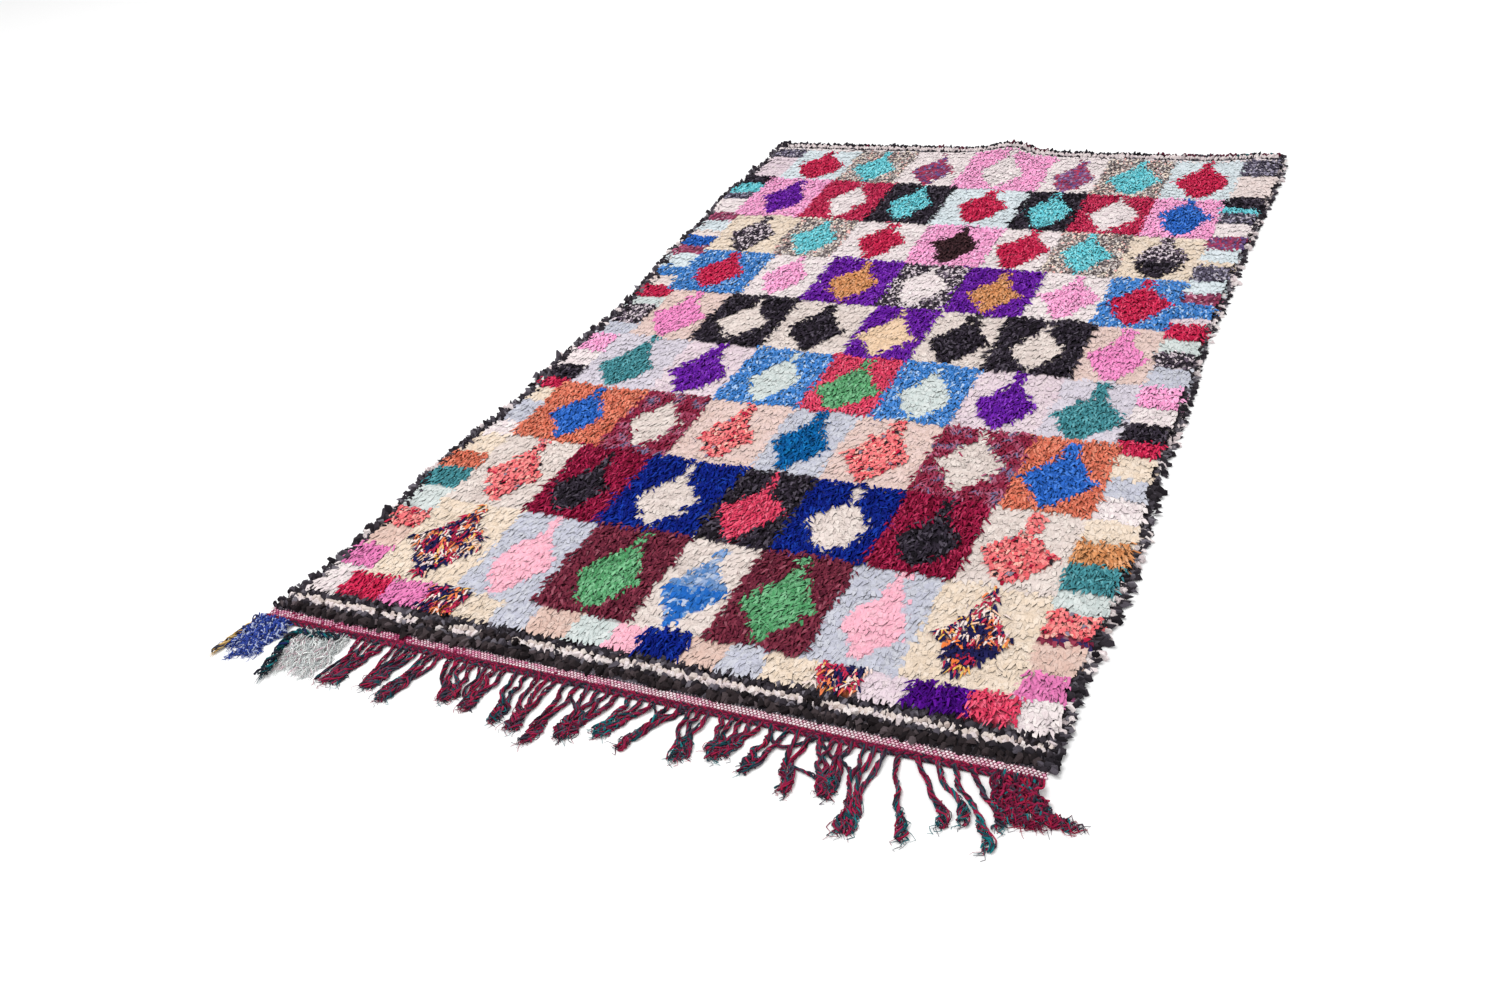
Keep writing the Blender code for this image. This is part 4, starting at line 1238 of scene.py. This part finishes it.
# the knotted warp ends, as on the solids. Each clump: where its first and last strands start, how many they
# are, where they end across, how far they reach, how much they sway, and how much of their yarn is teal
clumpColumns = ("first", "last", "strands", "tip", "reach", "sway", "teal")
clumps = [
    (0.232, 0.286, 4, 0.252, 0.118, 0.004, 0.10),
    (0.308, 0.358, 4, 0.326, 0.116, 0.005, 0.05),
    (0.380, 0.412, 3, 0.374, 0.128, 0.004, 0.20),
    (0.434, 0.488, 4, 0.492, 0.098, -0.006, 0.10),
    (0.512, 0.548, 3, 0.533, 0.112, 0.003, 0.05),
    (0.574, 0.596, 2, 0.603, 0.124, -0.004, 0.20),
    (0.618, 0.654, 3, 0.641, 0.126, -0.004, 0.10),
    (0.674, 0.696, 2, 0.678, 0.144, 0.004, 0.05),
    (0.716, 0.774, 4, 0.731, 0.118, 0.004, 0.10),
    (0.796, 0.840, 3, 0.789, 0.100, 0.006, 0.50),
    (0.868, 0.890, 2, 0.838, 0.108, 0.005, 0.20),
    (0.912, 0.944, 3, 0.938, 0.108, -0.006, 0.15),
    (0.966, 1.032, 5, 0.992, 0.088, 0.004, 0.20),
    (1.054, 1.078, 2, 1.046, 0.100, 0.005, 0.20),
    (1.098, 1.118, 2, 1.122, 0.128, -0.005, 0.15),
    (1.140, 1.188, 4, 1.184, 0.112, -0.005, 0.20),
    (1.208, 1.240, 3, 1.238, 0.168, -0.004, 0.20),
    (1.264, 1.264, 1, 1.316, 0.160, -0.003, 0.30),
    (1.292, 1.292, 1, 1.362, 0.130, 0.007, 0.60),
    (1.322, 1.322, 1, 1.390, 0.116, 0.005, 0.60),
    (1.350, 1.350, 1, 1.434, 0.142, 0.005, 0.50),
    (1.378, 1.378, 1, 1.446, 0.098, 0.000, 0.20),
]
strand = {
    "dyes": ["crimson", "slate", "wine", "crimson", "ink", "ruby", "slate"],
    "marl": ["ink", "slate", "wine", "ruby", "crimson", "deepTeal"],
    "threadDyes": ["crimson", "ruby", "wine", "slate", "slate", "ink"],
    "ply": 0.0016,
    "twist": 0.0029,
    "pitch": 0.055,
    "tipPitch": 0.0062,      # between the tips of a clump
    "open": 1.9,
    "frayed": {
        "count": 9, "first": (0.45, 0.80), "past": (-0.04, 0.12), "spread": 0.0065, "thick": 0.00090,
        "curl": 0.0070, "tight": 1.6,
    },
    "fuzz": {
        "count": 2, "first": (0.02, 0.25), "past": (-0.5, -0.2), "spread": 0.0030, "thick": 0.00090,
        "curl": 0.0024, "points": 12,
    },
}
# strands that leave their clump and cross to another
fringeStrays = [
    [(1.054, -0.006), (1.064, -0.028), (1.084, -0.038), (1.102, -0.029), (1.122, -0.012), (1.128, -0.002)],
    [(1.100, -0.060), (1.112, -0.069), (1.141, -0.074), (1.170, -0.082)],
    [(1.136, -0.004), (1.165, -0.035), (1.188, -0.039), (1.212, -0.060)],
    [(0.700, -0.030), (0.722, -0.052), (0.744, -0.058), (0.752, -0.086)],
    [(0.845, -0.006), (0.862, -0.030), (0.884, -0.022), (0.906, -0.006)],
    [(0.500, -0.008), (0.514, -0.034), (0.506, -0.062), (0.524, -0.088)],
    [(0.252, -0.018), (0.240, -0.050), (0.226, -0.092), (0.222, -0.118)],
]


def clumpPaths(group, rng, wiggle=0.0030, points=24, tipPitch=None):
    # the middle line of every strand of a clump
    count = group["strands"]
    roots = np.linspace(group["first"], group["last"], count) if count > 1 else [group["first"]]
    paths = []
    for k, root in enumerate(roots):
        t = np.linspace(0, 1, points)
        tip = group["tip"] + (k - (count - 1) / 2) * (tipPitch or strand["tipPitch"])
        reach = group["reach"] * rng.uniform(group.get("least", 0.86), 1.05)
        late = group.get("late", 0)       # a late turn: first straight out, then off to the side
        turn = smooth(t) * (1 - late) + late * t ** 2.6
        across = root + (tip - root) * turn + group["sway"] * np.sin(math.pi * t)
        waves, phase = rng.uniform(1.0, 2.4), rng.uniform(0, fullTurn, 2)
        bend = np.sin(fullTurn * waves * t + phase[0]) + 0.5 * np.sin(fullTurn * 1.9 * waves * t + phase[1])
        across = across + wiggle * bend * np.minimum(1, 4 * t)
        height = 0.0036 + 0.0008 * (1 + np.sin(9 * t + phase[0])) * (1 - t)
        along = -(reach + 0.002) * (t * (1 - late) + late * (1 - (1 - t) ** 1.8))
        paths.append(np.stack([across, 0.002 + along, height], axis=-1))
    return paths


def spinFringe():
    # strands of crimson, slate and teal yarn, frayed and clumped at their ends
    rng = np.random.default_rng(17)
    lines, threads = [], []
    for values in clumps:
        group = dict(zip(clumpColumns, values))
        for path in clumpPaths(group, rng):
            teal = group["teal"]
            dyes = list(strand["dyes"])
            for k in (1, 2, 4, 6):
                if rng.random() < teal:
                    dyes[k] = "teal" if k % 2 else "deepTeal"
            lines += bundled(path, {
                "dyes": dyes, "twist": strand["twist"], "ply": strand["ply"], "open": strand["open"],
                "pitch": strand["pitch"] * rng.uniform(0.7, 1.5) * rng.choice([-1, 1]),
                "marl": strand["marl"], "tealEnds": max(0, teal - 0.12),
            }, rng)
            dyes = strand["threadDyes"] + ["teal"] * int(1 + 8 * teal)
            threads += loose(path, strand["frayed"], dyes, rng)
            threads += loose(path, strand["fuzz"], dyes, rng)
    for points in fringeStrays:
        lines += strayYarn(points, {"dyes": ["crimson", "slate", "wine", "ink", "deepTeal"]}, rng)[1]
    return lines, threads


# the twined edge: each cord's place along the rug and the way it twists
twinedEdge = {
    "left": -0.006, "right": 1.480, "step": 0.0030,
    "cords": ((-0.0010, 1), (0.0040, -1), (0.0088, 1)),
    "twist": 0.0017, "ply": 0.0016, "pitch": 0.0145,
}


def spinEdge():
    # cords side by side, twisted opposite ways, with flecks of other dyes
    rng = np.random.default_rng(23)
    across = np.arange(twinedEdge["left"], twinedEdge["right"], twinedEdge["step"])
    lines = []
    for k, (along, way) in enumerate(twinedEdge["cords"]):
        weave = 0.0012 * wander(spotsOf(across, across * 0 + k * 0.3), 11, 4.4)
        thicker = 0.0005 * wander(spotsOf(across, across * 0 + k), 30, 1.2)
        thicker = thicker + 0.0014 * np.exp(-((across - kilim["knot"]) / 0.016) ** 2)
        path = np.stack([across, along + weave, 0.0036 + 0.6 * thicker], axis=-1)
        cord = {
            "dyes": ["crimson", "slate" if k == 0 else "wine", "wine"],
            "twist": twinedEdge["twist"], "ply": twinedEdge["ply"], "pitch": twinedEdge["pitch"] * way,
        }
        for line in plied(path, cord, rng):
            spots = spotsOf(across, across * 0 + line["path"][0, 2] * 900)
            fleck = wander(spots, 55, 6.6) > 0.22
            other = yarnDye(str(rng.choice(["ink", "slate", "ruby"])), rng)
            line["dye"] = np.where(fleck[:, None], other, line["dye"])
            line["thick"] = line["thick"] + thicker
            lines.append(line)
    return lines


# spare yarn in bunches. Their strands run as the fringe's do, and "yarns" fill them out
tassels = {
    "blue": {
        "first": -0.002, "last": 0.066, "strands": 7, "tip": 0.014, "pitch": 0.0115, "reach": 0.112,
        "sway": 0.002, "least": 0.72, "wiggle": 0.0060, "root": -0.003, "rise": 0.0075,
        "dyes": ["marlBlue", "marlNavy", "marlBlue", "marlBlue", "marlWhite"],
        "marl": ["marlWhite", "marlNavy", "marlNavy"],
        "yarns": {
            "count": 7, "first": (0.0, 0.03), "past": (-0.16, 0.05), "spread": 0.0034, "thick": 0.0016,
            "curl": 0.0090, "lift": 0.004, "points": 40, "tight": 3.6, "root": 0.0035,
        },
        "threads": 7,
    },
    "white": {
        "first": 0.102, "last": 0.208, "strands": 8, "tip": 0.156, "pitch": 0.0125, "reach": 0.124,
        "sway": 0.004, "least": 0.86, "wiggle": 0.0040, "root": -0.008, "rise": 0.0030,
        "dyes": ["fog", "cloud", "ash", "fog", "rosy", "cloud"],
        "marl": ["ash", "rosy", "cloud", "ash"],
        "yarns": {
            "count": 9, "first": (0.0, 0.03), "past": (-0.20, 0.05), "spread": 0.0060, "thick": 0.0010,
            "curl": 0.0060, "lift": 0.004, "points": 36, "tight": 2.0, "root": 0.0060,
        },
        "threads": 11,
    },
    "red": {
        "first": 1.418, "last": 1.474, "strands": 6, "tip": 1.512, "pitch": 0.0150, "reach": 0.078,
        "sway": 0.000, "late": 0.8, "least": 0.80, "wiggle": 0.0050, "root": -0.001, "rise": 0.0090,
        "dyes": ["crimson", "ruby", "wine", "wine", "crimson", "ink", "slate"],
        "marl": ["wine", "slate", "teal", "scarlet"],
        "yarns": {
            "count": 9, "first": (0.0, 0.03), "past": (-0.22, 0.05), "spread": 0.0045, "thick": 0.0016,
            "curl": 0.0115, "lift": 0.004, "points": 36, "tight": 3.2, "root": 0.0045,
        },
        "threads": 9,
    },
}
# single strands beside the bunches: the places they pass, and the threads that fray from them
spareYarns = {
    "gold": {
        "places": [(-0.008, 0.002), (-0.016, -0.05), (-0.027, -0.112)],
        "dyes": ["gold", "straw", "gold", "slate", "straw", "gold"],
        "twist": 0.0030, "ply": 0.0015, "height": 0.006,
        "frayed": {"count": 8, "first": (0.1, 0.6), "past": (0.0, 0.1), "spread": 0.003, "thick": 0.0006},
        "frayedDyes": ["gold", "straw"],
    },
    "teal": {
        "places": [(0.196, -0.014), (0.150, -0.020), (0.104, -0.018), (0.096, -0.050), (0.108, -0.100),
                   (0.118, -0.142)],
        "dyes": ["deepTeal", "ink", "teal", "slate", "deepTeal", "teal", "marlNavy"],
        "twist": 0.0050, "ply": 0.0022, "height": 0.0095,
        "frayed": {"count": 10, "first": (0.3, 0.8), "past": (0.0, 0.1), "spread": 0.004, "thick": 0.0006},
        "frayedDyes": ["teal", "ink", "slate"],
    },
}


def marled(line, marl, rng):
    # flecks of another dye along a yarn
    count = len(line["path"])
    fleck = (rng.random(count // 3 + 1) < 0.24).repeat(3)[:count]
    other = yarnDye(str(rng.choice(marl)), rng)
    return {**line, "dye": np.where(fleck[:, None], other, line["dye"])}


def spinTassel(name):
    about = tassels[name]
    rng = np.random.default_rng(len(name) + 90)
    yarn = about["yarns"]
    fine = {
        "count": about["threads"], "first": (0.1, 0.6), "past": (-0.10, 0.10), "spread": 0.0075,
        "thick": yarn["thick"] * 0.5, "curl": yarn["curl"] * 0.8, "points": 18, "tight": 2.4,
    }
    lines, threads = [], []
    for path in clumpPaths(about, rng, about["wiggle"], 26, about["pitch"]):
        path[:, 1] += about["root"] * (1 - np.linspace(0, 1, len(path)))
        path[:, 2] = 0.0030 + about["rise"] * (1 - smooth(np.linspace(0, 1, len(path)) / 0.7))
        lines += loose(path, yarn, about["dyes"], rng)
        threads += loose(path, fine, about["dyes"], rng)
    return [marled(line, about["marl"], rng) for line in lines] + threads


def strayYarn(places, about, rng):
    # a strand that passes given places: its middle line, and its yarns
    given = np.array(places)
    t = np.linspace(0, 1, len(given))
    fine = np.linspace(0, 1, 34)
    across = np.interp(fine, t, given[:, 0])
    along = np.interp(fine, t, given[:, 1])
    for _ in range(3):
        across[1:-1] = (across[:-2] + across[1:-1] * 2 + across[2:]) / 4
        along[1:-1] = (along[:-2] + along[1:-1] * 2 + along[2:]) / 4
    path = np.stack([across, along, np.full(34, about.get("height", 0.004))], axis=-1)
    return path, bundled(path, {"twist": 0.0016, "ply": 0.0014, "pitch": 0.05, "open": 0.8, **about}, rng)


def spareYarn(name, rng):
    about = spareYarns[name]
    path, lines = strayYarn(about["places"], about, rng)
    return lines + loose(path, about["frayed"], about["frayedDyes"], rng)


strayThread = {
    "count": 300,
    "length": (0.012, 0.034),
    "bend": 1.1,
    "thick": 0.00042,
    "height": 0.0165,        # over the floor, on the tips of the pile
    "dyes": ["ink", "ink", "wine", "slate", "ink", "marlNavy"],
}


def spinStrays():
    # single threads that lie on the pile, most of them dark
    rng = np.random.default_rng(55)
    lines = []
    for _ in range(strayThread["count"]):
        along = rng.uniform(0.12, 2.35)
        across = rng.uniform(0.06, 1.44)
        length, turn = rng.uniform(*strayThread["length"]), rng.uniform(-1.1, 1.1) - math.pi / 2
        t = np.linspace(0, 1, 8)
        bend = rng.normal(0, strayThread["bend"])
        angle = turn + bend * t
        x = across + np.cumsum(np.cos(angle)) * length / 8
        y = along + np.cumsum(np.sin(angle)) * length / 8
        lift = pile["lumps"] * pileLumps(np.array([[across, along]]))[0]
        z = strayThread["height"] + lift + 0.0016 * np.sin(3.1 * t) + rng.uniform(-0.001, 0.0006)
        dye = yarnDye(str(rng.choice(strayThread["dyes"])), rng)
        lines.append({"path": np.stack([x, y, z], axis=-1), "thick": strayThread["thick"], "dye": dye})
    return lines


stitch = beadShape()
groundCloth = weaveGround()
print("ground woven")
bands = growPile()
print("pile grown")
stripes = growStripes()
leftSide, rightSide = growSelvedge("left"), growSelvedge("right")
kilimBand, kilimStitches = weaveKilim(), stitchKilim()
print("ends and sides made")

strands, threads = spinFringe()
fringe = yarns("fringeStrands", strands, 4)
fringeThreads = yarns("fringeThreads", threads, 3)
edgeCord = yarns("edgeCord", spinEdge(), 4)
rng = np.random.default_rng(77)
blueTassel = yarns("tasselBlue", spinTassel("blue") + spareYarn("gold", rng), 4)
whiteTassel = yarns("tasselWhite", spinTassel("white") + spareYarn("teal", rng), 3)
redTassel = yarns("tasselRed", spinTassel("red"), 4)
strays = yarns("strayThreads", spinStrays(), 3)
print("yarns spun")

# which CAD node each piece stands for
pieces = {
    "pile_cloth": [groundCloth, *bands, stripes, strays],
    "selvedge_left": [leftSide],
    "selvedge_right": [rightSide],
    "kilim_end": [kilimBand, kilimStitches, edgeCord, fringe, fringeThreads],
    "tassel_blue": [blueTassel],
    "tassel_white": [whiteTassel],
    "tassel_red": [redTassel],
}
for node, group in pieces.items():
    for piece in group:
        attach(piece, "root")
        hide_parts(node)


# floor, light and camera
studio = {
    "floorHalf": 30.0,
    "floorHue": "#F6F6F6",
    "fill": 0.84,
    "boxSide": 5.0,
    "boxPower": 345,
    "boxPlace": (-2.6, -0.8, 6.9),
}


def makeStudio():
    floorMesh = bpy.data.meshes.new("studioFloor")
    half = studio["floorHalf"]
    corners = [(-half, -half, 0), (half, -half, 0), (half, half, 0), (-half, half, 0)]
    floorMesh.from_pydata(corners, [], [(0, 1, 2, 3)])
    # seamless background paper: pale and matt
    material, _, shader = newMaterial("paleSeamlessPaper")
    shader.inputs["Base Color"].default_value = (*linear(studio["floorHue"]), 1)
    shader.inputs["Roughness"].default_value = 0.9
    floorMesh.materials.append(material)
    newPiece("studioFloor", floorMesh)
    world = bpy.data.worlds.new("studioWorld")
    bpy.context.scene.world = world
    world.use_nodes = True
    world.node_tree.nodes["Background"].inputs["Color"].default_value = (1, 1, 1, 1)
    world.node_tree.nodes["Background"].inputs["Strength"].default_value = studio["fill"]
    lamp = bpy.data.lights.new("softbox", "AREA")
    lamp.shape = "RECTANGLE"
    lamp.size, lamp.size_y = studio["boxSide"], studio["boxSide"]
    lamp.energy = studio["boxPower"]
    box = bpy.data.objects.new("softbox", lamp)
    bpy.context.scene.collection.objects.link(box)
    box.location = studio["boxPlace"]
    box.rotation_euler = (-Vector(studio["boxPlace"])).to_track_quat("-Z", "Y").to_euler()


# solved from the rug's own edges in the photo, in rug places; the picture is 1500 pixels wide
eye = {
    "across": 1.8718,
    "along": -1.3528,
    "up": 1.4604,
    "right": (0.89810, 0.41624, -0.14199),
    "down": (0.12540, -0.55182, -0.82449),
    "ahead": (-0.42153, 0.72267, -0.54779),
    "focalPixels": 1364.15,
    "pictureWidth": 1500,
    "sensorWidth": 36,
}


def makeCamera():
    data = bpy.data.cameras.new("camera")
    data.sensor_width = eye["sensorWidth"]
    data.lens = eye["sensorWidth"] * eye["focalPixels"] / eye["pictureWidth"]
    camera = bpy.data.objects.new("camera", data)
    bpy.context.scene.collection.objects.link(camera)
    axes = Matrix((eye["right"], [-v for v in eye["down"]], [-v for v in eye["ahead"]])).transposed()
    spot = (eye["across"] - rug["middleAcross"], eye["along"] - rug["middleAlong"], eye["up"])
    camera.matrix_world = Matrix.Translation(spot) @ axes.to_4x4()
    bpy.context.scene.camera = camera
    bpy.context.scene.view_settings.view_transform = "Standard"


makeStudio()
makeCamera()
print("studio ready")
